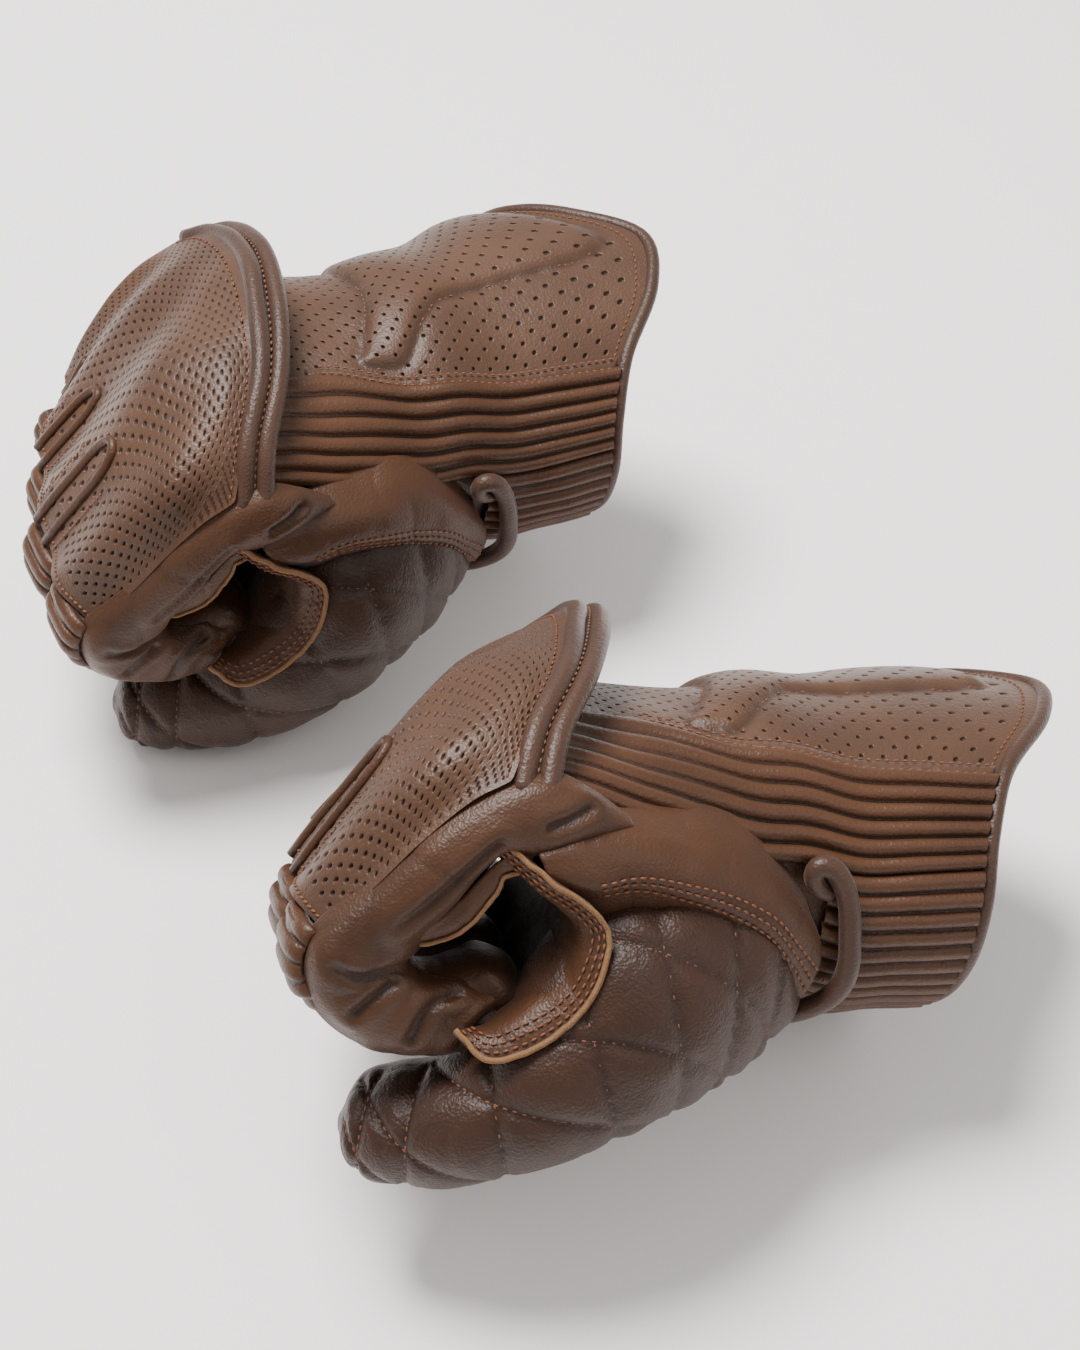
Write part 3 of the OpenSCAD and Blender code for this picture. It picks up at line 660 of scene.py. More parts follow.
def build_rolls(side):
    sizes = bpy.context.scene.glove_sizes
    bm = bmesh.new()
    for k, line in enumerate(ROLL_LINES):
        path = curve(line, 60)
        path = path + 0.25 * ripple(path, 16, 11 + k)[:, None]
        tube = tube_bmesh(path, sizes.roll_radius * (1.0 + 0.04 * ripple(path, 12, 5 + k)), 14, up=(1, 0, 0.15))
        merge_into(bm, tube)
    # Painted shade: a fully shaded core fills the gap between the two rolls.
    core = (curve(ROLL_LINES[0], 60) + curve(ROLL_LINES[1], 60)) / 2 - np.array([0.4, 0, 1.6])
    merge_into(bm, tube_bmesh(core, 1.9, 8, up=(1, 0, 0.15), shade=1.0))
    finish_piece(bm, "knuckle_rolls", side, [finish_of("edging")], rides="hand",
                 replaces=["knuckle_piping"])
    threads = bmesh.new()
    v = np.linspace(0.05, 5.9, 90)
    path, ups = knuckle_surface(np.full_like(v, 0.2), v)
    stitches(threads, path, ups, share=0.6)
    middle = (curve(ROLL_LINES[0], 90) + curve(ROLL_LINES[1], 90)) / 2
    ups = np.tile([0.0, 0.0, 1.0], (90, 1))
    outward = unit(middle - np.array([5, 2, -20]))
    stitches(threads, middle + outward * 1.0, outward, share=0.6)
    finish_piece(threads, "knuckle_thread", side, [finish_of("thread")], rides="hand")


def merge_into(target, other):
    """Adds one bmesh to another and frees it."""
    mesh = bpy.data.meshes.new("merge")
    other.to_mesh(mesh)
    other.free()
    target.from_mesh(mesh)
    bpy.data.meshes.remove(mesh)


def build_clefts(side):
    """Folded gussets between the fingers, overlocked thread along both sides of each, and a row of stitches along the
    cover's front edge.
    """
    bm = bmesh.new()
    threads = bmesh.new()
    for v0, top, half in ((2.15, 2.75, 0.2), (3.75, 3.0, 0.17), (5.2, 3.2, 0.14)):
        s = np.linspace(-1, 1, 23)
        u = top + (4.02 - top) * np.abs(s) ** 1.6
        v = v0 + half * np.sign(s) * np.minimum(1, 2.4 * np.abs(s)) ** 0.6 + 0.12 * (u - top)
        path, ups = knuckle_surface(u, v)
        merge_into(bm, tube_bmesh(path + ups * 0.3, 1.35, 10, up=(0, 1, 0.2)))
        for edge in (-1, 1):
            u = np.linspace(top + 0.35, 3.98, 30)
            v = v0 + 0.12 * (u - top) + edge * (half + 0.26)
            path, ups = knuckle_surface(u, v)
            stitches(threads, path + ups * 0.3, ups, pitch=1.5, thick=0.3, share=0.8, slant=edge * 1.2)
    finish_piece(bm, "cleft_folds", side, [finish_of("plain")], rides="hand",
                 replaces=["cleft_gussets"])
    v = np.linspace(0.05, 5.95, 110)
    path, ups = knuckle_surface(np.full_like(v, 3.93), v)
    stitches(threads, path, ups, pitch=1.7, thick=0.38, share=0.8, slant=0.4)
    finish_piece(threads, "cleft_thread", side, [finish_of("thread")], rides="hand")


def smooth_interp(u, table):
    """A table read with its corners rounded."""
    return sum(np.interp(u + d, *table) for d in np.linspace(-0.25, 0.25, 5)) / 5


def pad_line(count=160):
    points = np.array([(u, v, 0) for u, v in PAD_OUTLINE], float)
    fine = curve(points, count)
    return fine[:, 0], fine[:, 1]


def inside_outline(u, v, outline):
    """Whether each (u, v) lies inside a closed outline."""
    inside = np.zeros(u.shape, bool)
    for (u0, v0), (u1, v1) in zip(outline, np.roll(outline, -1, axis=0)):
        crosses = (v0 > v) != (v1 > v)
        at = (u1 - u0) * (v - v0) / (v1 - v0 + 1e-12) + u0
        inside ^= crosses & (u < at)
    return inside


def back_surface(u, v):
    """Outer face of the perforated back, with the stitched pad raised."""
    points = surface(CUFF, u, v, ring=True)
    ups = normals(CUFF, u, v, ring=True)
    pu, pv = pad_line()
    edge = surface(CUFF, pu, pv, ring=True)
    gap = distance_to(points, [edge])
    inside = inside_outline(u, v, np.stack([pu, pv], axis=1))
    rise = np.where(inside, 2.2 * (1 - np.exp(-gap / 2.2)), 0) - 0.7 * np.exp(-(gap / 1.3) ** 2)
    wrinkle = 0.35 * ripple(points, 17, 21) * np.clip(1.5 - np.abs(u - 2.6) / 1.5, 0, 1)
    return points + ups * (1.6 + rise + wrinkle)[..., None], ups, np.exp(-(gap / 1.1) ** 2)


def build_back(side):
    sizes = bpy.context.scene.glove_sizes
    rows, cols = int(142 / sizes.cuff_cell), int(86 / sizes.cuff_cell)
    s, t = np.meshgrid(np.linspace(0.15, HEM_U - 0.02, rows + 1), np.linspace(0, 1, cols + 1), indexing="ij")
    u = s
    seam = smooth_interp(u, RIB_SEAM)
    v = seam + (FAR_SEAM - seam) * t
    points, _, crease = back_surface(u, v)
    # Painted shade in the stitched groove round the pad.
    bm, (layer_i, layer_j) = numbered_grid(points, np.clip(0.8 * crease, 0, 1))
    face_outward(bm, away_from=(50, 5, -25))
    shade = crease
    chosen = []
    for face in bm.faces:
        i, j = face[layer_i], face[layer_j]
        if i % 2 or j % 2 or (i // 2 + j // 2) % 2 or i > rows - 4 or not 2 <= j < cols - 1:
            continue
        if shade[i, j] < 0.25:
            chosen.append(face)
    punch(bm, chosen, (sizes.cuff_cell - sizes.cuff_hole) / 2, 1.0)
    finish_piece(bm, "glove_back", side, [finish_of("punched"), finish_of("punched_hole_shadow")], bends=WRIST_BEND,
                 replaces=["wrist_back", "cuff_back", "cuff_pad"], soften=1)
    threads = bmesh.new()
    pu, pv = pad_line(300)
    path, ups, _ = back_surface(pu, pv)
    stitches(threads, path, ups, share=0.62)
    u = np.linspace(1.9, HEM_U - 0.15, 200)
    for shift in (-0.04, 0.1):
        path, ups, _ = back_surface(u, smooth_interp(u, RIB_SEAM) + shift)
        stitches(threads, path, ups, share=0.62, lift=1.3)
    path, ups, _ = back_surface(u, np.full_like(u, FAR_SEAM - 0.1))
    stitches(threads, path, ups, share=0.62)
    v = np.linspace(smooth_interp(np.array([6.9]), RIB_SEAM)[0], FAR_SEAM, 160)
    path, ups, _ = back_surface(np.full_like(v, HEM_U - 0.14), v)
    stitches(threads, path, ups, share=0.62)
    finish_piece(threads, "back_thread", side, [finish_of("thread")], bends=WRIST_BEND)


def rib_profile(share, count):
    """Rounded rolls side by side: 1 on a crest and 0 in a groove."""
    phase = (share * count) % 1.0
    return np.sqrt(np.clip(1 - (2 * phase - 1) ** 2, 0, 1))


def rib_sheet(u, v, share, count, crest):
    points = surface(CUFF, u, v, ring=True)
    ups = normals(CUFF, u, v, ring=True)
    roll = rib_profile(share, count)
    height = 1.2 + crest * roll + 0.25 * ripple(points, 14, 8) * roll
    # The second value is painted shade, darkest in the grooves between the ribs.
    return points + ups * height[..., None], np.clip(1.3 - 1.9 * roll, 0, 1)


def build_ribs(side):
    crest = bpy.context.scene.glove_sizes.rib_height
    steps = 10
    u, t = np.meshgrid(np.linspace(0.15, HEM_U - 0.02, 90), np.linspace(0, 1, LONG_RIBS * steps + 1), indexing="ij")
    seam, foot = smooth_interp(u, RIB_SEAM), smooth_interp(u, RIB_FOOT)
    bend = 0.05 * np.sin(2 * np.pi * (u - 0.4) / 2.1) * np.clip(3.6 - u, 0, 1) * (1 - t) * t * 4
    points, shade = rib_sheet(u, foot + (seam - foot) * t + bend, t, LONG_RIBS, crest)
    long_ribs = grid_bmesh(points, shade)
    face_outward(long_ribs, away_from=(50, 5, -25))
    finish_piece(long_ribs, "long_ribs", side, [finish_of("ribbed")], bends=WRIST_BEND,
                 replaces=["wrist_ribs", "cuff_ribs"])
    u, t = np.meshgrid(np.linspace(SHORT_RIB_START, HEM_U - 0.02, 40), np.linspace(0, 1, SHORT_RIBS * steps + 1),
                       indexing="ij")
    foot = smooth_interp(u, RIB_FOOT)
    points, shade = rib_sheet(u, SHORT_RIB_FOOT + (foot - SHORT_RIB_FOOT) * t, t, SHORT_RIBS, crest)
    short_ribs = grid_bmesh(points, shade)
    face_outward(short_ribs, away_from=(80, 5, -25))
    finish_piece(short_ribs, "short_ribs", side, [finish_of("ribbed")], bends=WRIST_BEND)


def build_palm(side):
    """Plain leather round the palm side of the wrist and cuff, and the palm itself."""
    u, v = np.meshgrid(np.linspace(0.6, 4.8, 40), np.linspace(-2.6, 1.2, 20), indexing="ij")
    under = surface(CUFF, u, v, ring=True) - normals(CUFF, u, v, ring=True) * 0.4
    # Painted shade, the same over the whole underlay.
    bm = grid_bmesh(under, np.full(u.shape, 0.3))
    face_outward(bm, away_from=(30, 5, -15))
    finish_piece(bm, "wrist_underlay", side, [finish_of("plain")], bends=WRIST_BEND, wall=0.8)
    u, v, points, ups = panel(OUTER_SIDE, 70, 40, 0.3, 91, (0, 0, -10))
    # Painted shade in the wrinkles.
    bm = grid_bmesh(points, 0.3 * wrinkles(points, 13, 92))
    face_outward(bm, away_from=(0, 0, -10))
    finish_piece(bm, "outer_side_leather", side, [finish_of("plain")], rides="hand", wall=1.2)
    u, v = np.meshgrid(np.linspace(1.3, HEM_U - 0.02, 60), np.linspace(FAR_SEAM - OVAL_STEPS, 0.7, 90),
                       indexing="ij")
    points = surface(CUFF, u, v, ring=True)
    ups = normals(CUFF, u, v, ring=True)
    points = points + ups * (0.7 + 0.3 * ripple(points, 22, 31))[..., None]
    bm = grid_bmesh(points, np.zeros(u.shape))
    face_outward(bm, away_from=(60, 5, -25))
    finish_piece(bm, "cuff_palm_leather", side, [finish_of("plain")], bends=WRIST_BEND, replaces=["cuff_palm"])
    u, v = np.meshgrid(np.linspace(0, 7, 40), np.linspace(0, 16, 65), indexing="ij")
    points = surface(HAND_NET, u, v, ring=True)
    # Painted shade over the palm inside the fist, on top of the darker shaded copy of the plain leather.
    bm = grid_bmesh(points, np.full(u.shape, 0.2))
    close_tube(bm)
    face_outward(bm)
    finish_piece(bm, "palm_leather", side, [finish_of("inner")], rides="hand",
                 replaces=["hand_shell", "palm_panel"], wall=1.2)


def build_seams(side):
    """Raw-edged strips: the seam between the back and the ribs, and the one along the far side."""
    bm = bmesh.new()
    for start, table, wide, lift in ((1.7, RIB_SEAM, 0.13, 2.7), (0.9, ([0, 8], [FAR_SEAM, FAR_SEAM]), 0.12, 1.6)):
        u, t = np.meshgrid(np.linspace(start, HEM_U - 0.1, 120), np.linspace(-1, 1, 5), indexing="ij")
        v = smooth_interp(u, table) + wide * t
        points = surface(CUFF, u, v, ring=True)
        ups = normals(CUFF, u, v, ring=True)
        points = points + ups * (lift - 0.9 * t**2 + 0.2 * ripple(points, 3, 4))[..., None]
        strip = grid_bmesh(points, np.zeros(u.shape))
        face_outward(strip, away_from=(50, 5, -25))
        merge_into(bm, strip)
    finish_piece(bm, "seam_strips", side, [finish_of("punched")], bends=WRIST_BEND,
                 replaces=["cuff_seams"], wall=0.8)


def build_hem(side):
    sizes = bpy.context.scene.glove_sizes
    v = np.linspace(0, OVAL_STEPS, 121)[:-1]
    path = surface(CUFF, np.full_like(v, HEM_U), v, ring=True)
    ups = normals(CUFF, np.full_like(v, HEM_U - 0.02), v, ring=True)
    path = path + ups * 0.9 + np.array([1.4, 0, 0]) + 0.2 * ripple(path, 20, 6)[:, None]
    finish_piece(ring_roll(path, sizes.hem_radius), "hem_roll", side, [finish_of("edging")], rides="cuff",
                 replaces=["hem_binding"])
    u, v = np.meshgrid(np.linspace(4.35, HEM_U, 24), np.linspace(0, OVAL_STEPS, 81), indexing="ij")
    points = surface(CUFF, u, v, ring=True) - normals(CUFF, u, v, ring=True) * 0.6
    lining = grid_bmesh(points)
    bmesh.ops.remove_doubles(lining, verts=lining.verts, dist=0.02)
    face_outward(lining)
    finish_piece(lining, "cuff_lining_cloth", side, [finish_of("lining")], rides="cuff",
                 replaces=["cuff_lining"], wall=0.8)


def build_loop(side):
    sizes = bpy.context.scene.glove_sizes
    path = curve(LOOP_PATH, 70)
    radius = sizes.loop_radius * (1 + 0.06 * ripple(path, 9, 2)) * np.interp(np.arange(70), [0, 12, 69], [0.72, 1, 1])
    bm = tube_bmesh(path, radius, 14, up=(0, 1, 0))
    finish_piece(bm, "wrist_loop_roll", side, [finish_of("edging")], rides="cuff",
                 replaces=["wrist_loop"])


def quilt_lines(step=0.04):
    """Sewn lines of the thumb's quilting, as (u, v) pairs: across it, and slantwise round it."""
    lines = []
    for u0 in QUILT_ACROSS:
        v = np.arange(-6.5, 3.4, step * 2)
        lines.append((np.clip(u0 - 0.13 * (v - 1), 0.02, 7.6), v))
    for u0 in QUILT_SLANT:
        v = np.arange(-6.5, 3.4, step * 2)
        u = u0 + 0.4 * (v - 1)
        keep = (u > 0.02) & (u < 7.4)
        lines.append((u[keep], v[keep]))
    return lines


def thumb_surface(u, v):
    points = surface(THUMB_NET, u, v, ring=True)
    ups = normals(THUMB_NET, u, v, ring=True)
    sewn = [surface(THUMB_NET, a, b, ring=True) for a, b in quilt_lines()]
    gap = distance_to(points, sewn)
    fade = np.clip((7.7 - u) / 0.8, 0, 1)
    puff = 1.5 * (1 - np.exp(-gap / 4.5)) * fade - 0.55 * np.exp(-(gap / 0.9) ** 2) * fade
    middle = surface(THUMB_NET, u, np.zeros_like(v), ring=True) / 2 + surface(THUMB_NET, u, np.full_like(v, 7.0), ring=True) / 2
    sign = np.sign(((points - middle) * ups).sum(axis=-1, keepdims=True))
    ups = ups * np.where(sign == 0, 1, sign)
    height = puff + 0.35 * ripple(points, 15, 14) - 0.22 * wrinkles(points, 11, 15)
    # The third value is painted shade along the sewn lines and in the wrinkles.
    return points + ups * height[..., None], ups, np.exp(-(gap / 0.9) ** 2) + 0.3 * wrinkles(points, 11, 15)


def build_thumb(side):
    u, v = np.meshgrid(np.linspace(0.0, 8, 130), np.linspace(0, 14, 141), indexing="ij")
    points, _, crease = thumb_surface(u, v)
    # Painted shade along the quilting and in the wrinkles.
    bm = grid_bmesh(points, np.minimum(1, 0.7 * crease))
    close_tube(bm)
    face_outward(bm)
    finish_piece(bm, "quilted_thumb", side, [finish_of("quilted")], bends=THUMB_BEND,
                 replaces=["thumb"])
    threads = bmesh.new()
    for a, b in quilt_lines():
        path, ups, _ = thumb_surface(a, b)
        stitches(threads, path, ups, share=0.6)
    finish_piece(threads, "quilt_thread", side, [finish_of("thread")], bends=THUMB_BEND)


def panel(net, rows, cols, lift, bulge_seed, away, rough=0.3, lump=14):
    """A plain, slightly wrinkled leather panel from a small net of points."""
    r, c = net.shape[:2]
    u, v = np.meshgrid(np.linspace(0, r - 1, rows), np.linspace(0, c - 1, cols), indexing="ij")
    points = surface(net, u, v)
    ups = normals(net, u, v)
    centre = np.asarray(away, float)
    ups = ups * np.sign(((points - centre) * ups).sum())
    height = lift + rough * ripple(points, lump, bulge_seed) - 0.3 * wrinkles(points, 13, bulge_seed + 1)
    return u, v, points + ups * height[..., None], ups


def raw_edge(bm, path, radius=0.55):
    """A thin, slightly wavy raw leather edge along a path."""
    path = path + 0.22 * ripple(path, 2.5, 9)[:, None]
    merge_into(bm, tube_bmesh(path, radius, 6, up=(0, 1, 0.1)))


def build_side(side):
    """The plain panel from the wrist ribs over the side of the index finger to its tip."""
    inside = (-20, 0, -20)
    u, v, points, ups = panel(SIDE_PANEL, 150, 56, 0.4, 41, inside, 0.35, 13)
    gap = distance_to(points, [curve(line, 30) for line in SIDE_CREASES])
    fold = np.exp(-((gap / 1.3) ** 2))
    points = points + ups * (0.5 * np.exp(-((gap - 3) / 2) ** 2) - 1.3 * fold)[..., None]
    # Painted shade in the folds and wrinkles, and towards the panel's inner edge.
    shade = np.clip(0.75 * fold + 0.4 * wrinkles(points, 13, 42) + np.clip((v - 3) * 0.5, 0, 0.5), 0, 1)
    bm = grid_bmesh(points, shade)
    face_outward(bm, away_from=inside)
    finish_piece(bm, "side_leather", side, [finish_of("plain")], bends=INDEX_BEND, replaces=["index_side"], wall=1.2)
    u, v, points, ups = panel(INNER_STRIP, 60, 12, 0.2, 43, inside, 0.5, 6)
    strip = grid_bmesh(points, np.zeros(u.shape))
    face_outward(strip, away_from=inside)
    finish_piece(strip, "inner_strip", side, [finish_of("plain")], rides="hand", wall=1.0)
    edge = bmesh.new()
    raw_edge(edge, points[:, 6] + ups[:, 6] * 0.5)
    finish_piece(edge, "inner_strip_edge", side, [finish_of("raw")], rides="hand")
    threads = bmesh.new()
    for column in (8, 10):
        stitches(threads, points[:, column], ups[:, column], share=0.6)
    finish_piece(threads, "inner_strip_thread", side, [finish_of("thread")], rides="hand")


def build_web(side):
    """Plain band from the thumb crotch to the wrist loop, and the triple-stitched arc under it."""
    inside = (20, 0, -20)
    u, v, points, ups = panel(WEB_BAND, 90, 24, 0.6, 51, inside, 0.3, 18)
    bm = grid_bmesh(points, np.zeros(u.shape))
    face_outward(bm, away_from=inside)
    finish_piece(bm, "web_band", side, [finish_of("plain")], bends=WRIST_BEND, replaces=["web_panel"], wall=1.4)
    threads = bmesh.new()
    for t in (3.15, 3.5, 3.85):
        a = np.linspace(1.2, 6.95, 160)
        path = surface(WEB_BAND, a, np.full_like(a, t))
        up = normals(WEB_BAND, a, np.full_like(a, t))
        up = up * np.sign(((path - np.array(inside)) * up).sum())
        stitches(threads, path + up * 0.75, up, share=0.7)
    finish_piece(threads, "web_thread", side, [finish_of("thread")], bends=WRIST_BEND)


def build_patch(side):
    """Reinforcement round the thumb crotch, with a raw edge and three rows of stitches."""
    u, v, points, ups = panel(CROTCH_PATCH, 110, 51, 0.4, 61, (20, -20, -45), 0.3, 9)
    # Painted shade, darker further in under the hand.
    bm = grid_bmesh(points, np.clip((v - 1.7) * 0.8, 0, 1))
    bmesh.ops.recalc_face_normals(bm, faces=bm.faces)
    finish_piece(bm, "crotch_patch", side, [finish_of("plain")], bends=THUMB_BEND, replaces=["thumb_patch"], wall=1.2)
    edge = bmesh.new()
    raw_edge(edge, points[:, 0], 0.7)
    finish_piece(edge, "crotch_patch_edge", side, [finish_of("raw")], bends=THUMB_BEND)
    threads = bmesh.new()
    for column in (4, 8, 12):
        stitches(threads, points[:, column] + ups[:, column] * 0.2, ups[:, column], share=0.7)
    finish_piece(threads, "patch_thread", side, [finish_of("thread")], bends=THUMB_BEND)


def finger_rings(i):
    """Rings of points along one curled finger."""
    (hx, hz), (low, high), r = FINGER_HINGES[i], FINGER_SLABS[i], FINGER_RADIUS[i]
    wide, middle, s = (high - low - 1) / 2, (low + high) / 2, r / 12.3
    path = np.array([(p[0], p[1]) for p in FINGER_CURL], float)
    rings = []
    for k, (x, z, half) in enumerate(FINGER_CURL):
        t = unit(path[min(k + 1, len(path) - 1)] - path[max(k - 1, 0)])
        angles = np.radians(360 / 16 * np.arange(16))
        w = np.sign(np.cos(angles)) * np.abs(np.cos(angles)) ** 0.75
        h = np.sign(np.sin(angles)) * np.abs(np.sin(angles)) ** 0.75
        squeeze = 1.0 if half > 0.55 else half / 0.62
        rings.append(np.stack([hx + x * s + t[1] * half * r * h, middle + wide * squeeze * w,
                               hz + z * s - t[0] * half * r * h], axis=1))
    return np.array(rings)


def build_finger(side, i):
    name = FINGERS[i]
    net = finger_rings(i)
    u, v = np.meshgrid(np.linspace(0.6, len(FINGER_CURL) - 1, 60), np.linspace(0, 16, 49), indexing="ij")
    points = surface(net, u, v, ring=True)
    middle = points[:, :-1].mean(axis=1, keepdims=True)
    ups = unit(points - middle)
    points = points + ups * (0.35 * ripple(points, 9, 70 + i))[..., None]
    folds = wrinkles(points, 9, 80 + i)
    points = points - ups * 0.3 * folds[..., None]
    # Painted shade, darker where the finger curls back inside the fist, and in the folds.
    bm = grid_bmesh(points, np.clip((points[..., 0] + 26) / 22 + 0.4 * folds, 0, 1))
    close_tube(bm)
    face_outward(bm)
    finish_piece(bm, f"{name}_finger_leather", side, [finish_of("plain")], rides=name,
                 replaces=[f"{name}_finger"], wall=1.4)
    (hx, hz), (low, high), r = FINGER_HINGES[i], FINGER_SLABS[i], FINGER_RADIUS[i]
    rolls, steps = 6, 9
    a, t = np.meshgrid(np.linspace(0, 1, rolls * steps + 1), np.linspace(-1, 1, 21), indexing="ij")
    angle = np.radians(134 + 140 * a)
    roll = rib_profile(a, rolls)
    reach = r * 0.93 + 0.6 + 2.3 * roll * np.sqrt(np.clip(1 - t**4, 0, 1)) - 1.6 * t**4
    half = (high - low - 1) / 2 - 0.3
    points = np.stack([hx + reach * np.cos(angle), (low + high) / 2 + half * t, hz + reach * np.sin(angle)], axis=-1)
    # Painted shade in the grooves between the rolls.
    bm = grid_bmesh(points, np.clip(1.1 - 2 * roll, 0, 1))
    face_outward(bm, away_from=(hx, (low + high) / 2, hz))
    finish_piece(bm, f"{name}_flex_rolls", side, [finish_of("ribbed")], rides=name,
                 replaces=[f"{name}_flex_ribs"], wall=0.8)


# --- settings ---------------------------------------------------------------------------------------
class GloveSizes(bpy.types.PropertyGroup):
    """Sizes of the gloves' details, in millimetres."""

    knuckle_cell: bpy.props.FloatProperty(name="Knuckle hole spacing", default=2.2, unit="LENGTH",
                                          description="Side of the square that each knuckle hole stands in")
    knuckle_hole: bpy.props.FloatProperty(name="Knuckle hole", default=1.15, unit="LENGTH",
                                          description="Width of the holes in the knuckle cover")
    cuff_cell: bpy.props.FloatProperty(name="Cuff hole spacing", default=1.65, unit="LENGTH",
                                       description="Half the spacing between rows of holes in the cuff")
    cuff_hole: bpy.props.FloatProperty(name="Cuff hole", default=1.5, unit="LENGTH",
                                       description="Width of the holes in the back and cuff")
    roll_radius: bpy.props.FloatProperty(name="Knuckle roll radius", default=2.6, unit="LENGTH",
                                         description="Radius of the rolls behind the knuckles")
    rib_height: bpy.props.FloatProperty(name="Rib height", default=2.5, unit="LENGTH",
                                        description="Height of the rounded ribs above their grooves")
    hem_radius: bpy.props.FloatProperty(name="Hem radius", default=2.1, unit="LENGTH",
                                        description="Radius of the rolled hem")
    loop_radius: bpy.props.FloatProperty(name="Loop radius", default=2.6, unit="LENGTH",
                                         description="Radius of the rolled wrist loop")
    stitch_pitch: bpy.props.FloatProperty(name="Stitch pitch", default=2.2, unit="LENGTH",
                                          description="Distance from one stitch to the next")
    thread: bpy.props.FloatProperty(name="Thread radius", default=0.32, unit="LENGTH",
                                    description="Radius of the sewing thread")


class GloveColours(bpy.types.PropertyGroup):
    """Colours of the gloves' leathers, thread and edges."""

    punched: bpy.props.FloatVectorProperty(name="Perforated leather", subtype="COLOR", size=3,
                                           default=(0.063, 0.0282, 0.0142), description="Colour of the perforated leather")
    ribbed: bpy.props.FloatVectorProperty(name="Ribbed leather", subtype="COLOR", size=3,
                                          default=(0.058, 0.0222, 0.0088), description="Colour of the ribs")
    plain: bpy.props.FloatVectorProperty(name="Plain leather", subtype="COLOR", size=3,
                                         default=(0.05, 0.0192, 0.0076), description="Colour of the plain panels")
    edging: bpy.props.FloatVectorProperty(name="Edging", subtype="COLOR", size=3,
                                          default=(0.046, 0.0208, 0.0118), description="Colour of the rolled edges")
    quilted: bpy.props.FloatVectorProperty(name="Quilted leather", subtype="COLOR", size=3,
                                           default=(0.031, 0.0118, 0.0056), description="Colour of the quilted thumb")
    raw: bpy.props.FloatVectorProperty(name="Raw edge", subtype="COLOR", size=3,
                                       default=(0.17, 0.082, 0.032), description="Colour of cut leather edges")
    thread: bpy.props.FloatVectorProperty(name="Thread", subtype="COLOR", size=3,
                                          default=(0.16, 0.052, 0.017), description="Colour of the sewing thread")


def build_both(*makers):
    for side in PLACES:
        for make in makers:
            make(side)
    return {"FINISHED"}


class GLOVE_OT_knuckles(bpy.types.Operator):
    """Perforated knuckle cover, its foam, its two rear rolls and the folds between the fingers"""

    bl_idname = "glove.knuckles"
    bl_label = "Knuckle cover"

    def execute(self, context):
        return build_both(build_knuckles, build_rolls, build_clefts)


class GLOVE_OT_back(bpy.types.Operator):
    """Perforated back and cuff with the raised pad, and the seam strips"""

    bl_idname = "glove.back"
    bl_label = "Back and cuff"

    def execute(self, context):
        return build_both(build_back, build_seams)


class GLOVE_OT_ribs(bpy.types.Operator):
    """Long ribs from the knuckles to the hem and short ribs below the loop"""

    bl_idname = "glove.ribs"
    bl_label = "Ribs"

    def execute(self, context):
        return build_both(build_ribs)


class GLOVE_OT_palm(bpy.types.Operator):
    """Plain palm leather of the hand and the cuff"""

    bl_idname = "glove.palm"
    bl_label = "Palm"

    def execute(self, context):
        return build_both(build_palm)


class GLOVE_OT_hem(bpy.types.Operator):
    """Rolled hem and knitted lining of the cuff, and the wrist loop"""

    bl_idname = "glove.hem"
    bl_label = "Hem, lining and loop"

    def execute(self, context):
        return build_both(build_hem, build_loop)


class GLOVE_OT_side(bpy.types.Operator):
    """Plain side panel, web band and thumb crotch patch"""

    bl_idname = "glove.side"
    bl_label = "Side, web and patch"

    def execute(self, context):
        return build_both(build_side, build_web, build_patch)


class GLOVE_OT_thumb(bpy.types.Operator):
    """Quilted thumb with its sewn lines"""

    bl_idname = "glove.thumb"
    bl_label = "Thumb"

    def execute(self, context):
        return build_both(build_thumb)


class GLOVE_OT_fingers(bpy.types.Operator):
    """Four curled fingers with stacked flex rolls"""

    bl_idname = "glove.fingers"
    bl_label = "Fingers"

    def execute(self, context):
        for i in range(len(FINGERS)):
            for side in PLACES:
                build_finger(side, i)
        return {"FINISHED"}


def soft_light(name, place, aim, size, power):
    data = bpy.data.lights.new(name, "AREA")
    data.shape = "DISK"
    data.size = size
    data.energy = power
    lamp = bpy.data.objects.new(name, data)
    lamp.location = place
    lamp.rotation_euler = (Vector(aim) - Vector(place)).to_track_quat("-Z", "Y").to_euler()
    bpy.context.scene.collection.objects.link(lamp)


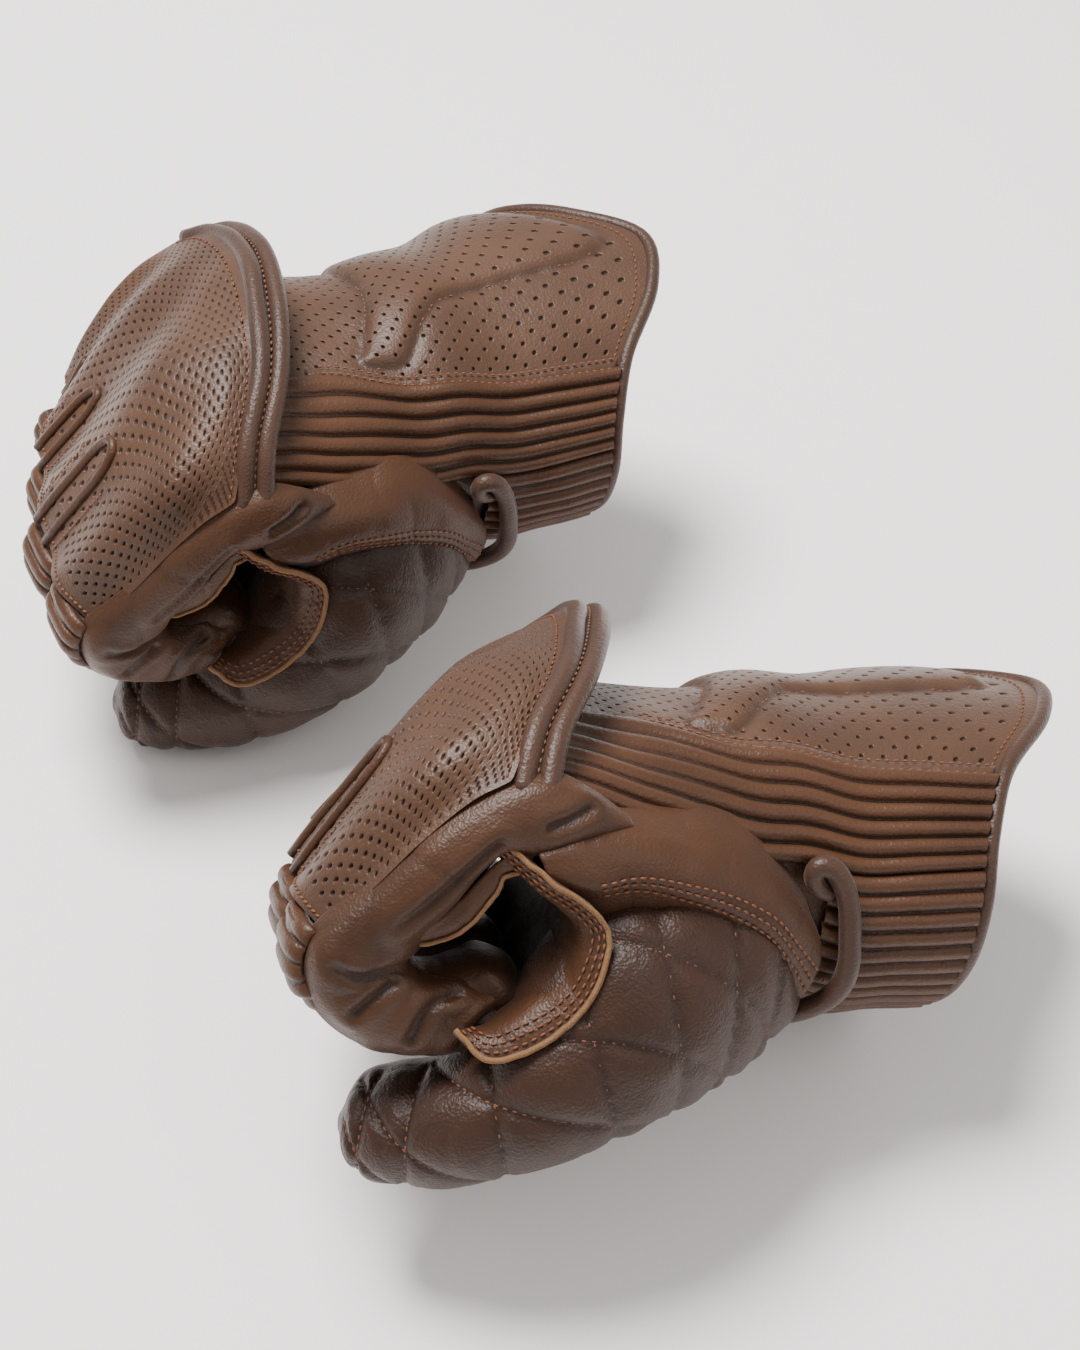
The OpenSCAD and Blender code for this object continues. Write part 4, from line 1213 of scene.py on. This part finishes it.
class GLOVE_OT_stage(bpy.types.Operator):
    """Pale floor, soft light and the camera"""

    bl_idname = "glove.stage"
    bl_label = "Stage"

    def execute(self, context):
        bm = bmesh.new()
        bmesh.ops.create_grid(bm, x_segments=1, y_segments=1, size=6)
        mesh = bpy.data.meshes.new("floor")
        bm.to_mesh(mesh)
        bm.free()
        mesh.materials.append(backdrop_paper((0.93, 0.89, 0.875)))
        floor = bpy.data.objects.new("floor", mesh)
        floor.location = (0, 0, -0.001)
        context.scene.collection.objects.link(floor)
        world = bpy.data.worlds.new("soft_sky")
        world.use_nodes = True
        world.node_tree.nodes["Background"].inputs["Color"].default_value = (1.0, 0.985, 0.97, 1)
        world.node_tree.nodes["Background"].inputs["Strength"].default_value = 0.7
        context.scene.world = world
        soft_light("key_light", (-0.3, 0.25, 1.25), (0, 0, 0.05), 0.55, 38)
        soft_light("fill_light", (0.9, -0.7, 1.1), (0, 0, 0.05), 1.2, 6)
        data = bpy.data.cameras.new("camera")
        data.sensor_fit = "HORIZONTAL"
        data.sensor_width = 36
        data.lens = 73.33
        camera = bpy.data.objects.new("camera", data)
        camera.location = (0.0098, -0.4058, 0.49)
        camera.rotation_euler = (math.radians(90 - 47.9), 0, 0)
        context.scene.collection.objects.link(camera)
        context.scene.camera = camera
        return {"FINISHED"}


OPERATORS = (GLOVE_OT_knuckles, GLOVE_OT_back, GLOVE_OT_ribs, GLOVE_OT_palm, GLOVE_OT_hem, GLOVE_OT_side,
             GLOVE_OT_thumb, GLOVE_OT_fingers, GLOVE_OT_stage)


class GLOVE_PT_panel(bpy.types.Panel):
    """Sidebar panel with the gloves' sizes, colours and pieces"""

    bl_idname = "GLOVE_PT_panel"
    bl_label = "Gloves"
    bl_space_type = "VIEW_3D"
    bl_region_type = "UI"
    bl_category = "Gloves"

    def draw(self, context):
        for group in (context.scene.glove_sizes, context.scene.glove_colours):
            for name in group.__annotations__:
                self.layout.prop(group, name)
        for operator in OPERATORS:
            self.layout.operator(operator.bl_idname)


CLASSES = (GloveSizes, GloveColours, *OPERATORS, GLOVE_PT_panel)


def register():
    for item in CLASSES:
        bpy.utils.register_class(item)
    bpy.types.Scene.glove_sizes = bpy.props.PointerProperty(type=GloveSizes)
    bpy.types.Scene.glove_colours = bpy.props.PointerProperty(type=GloveColours)


def unregister():
    del bpy.types.Scene.glove_colours
    del bpy.types.Scene.glove_sizes
    for item in reversed(CLASSES):
        bpy.utils.unregister_class(item)


def main():
    register()
    for step in ("knuckles", "back", "ribs", "palm", "hem", "side", "thumb", "fingers", "stage"):
        getattr(bpy.ops.glove, step)()


if __name__ == "__main__":
    main()
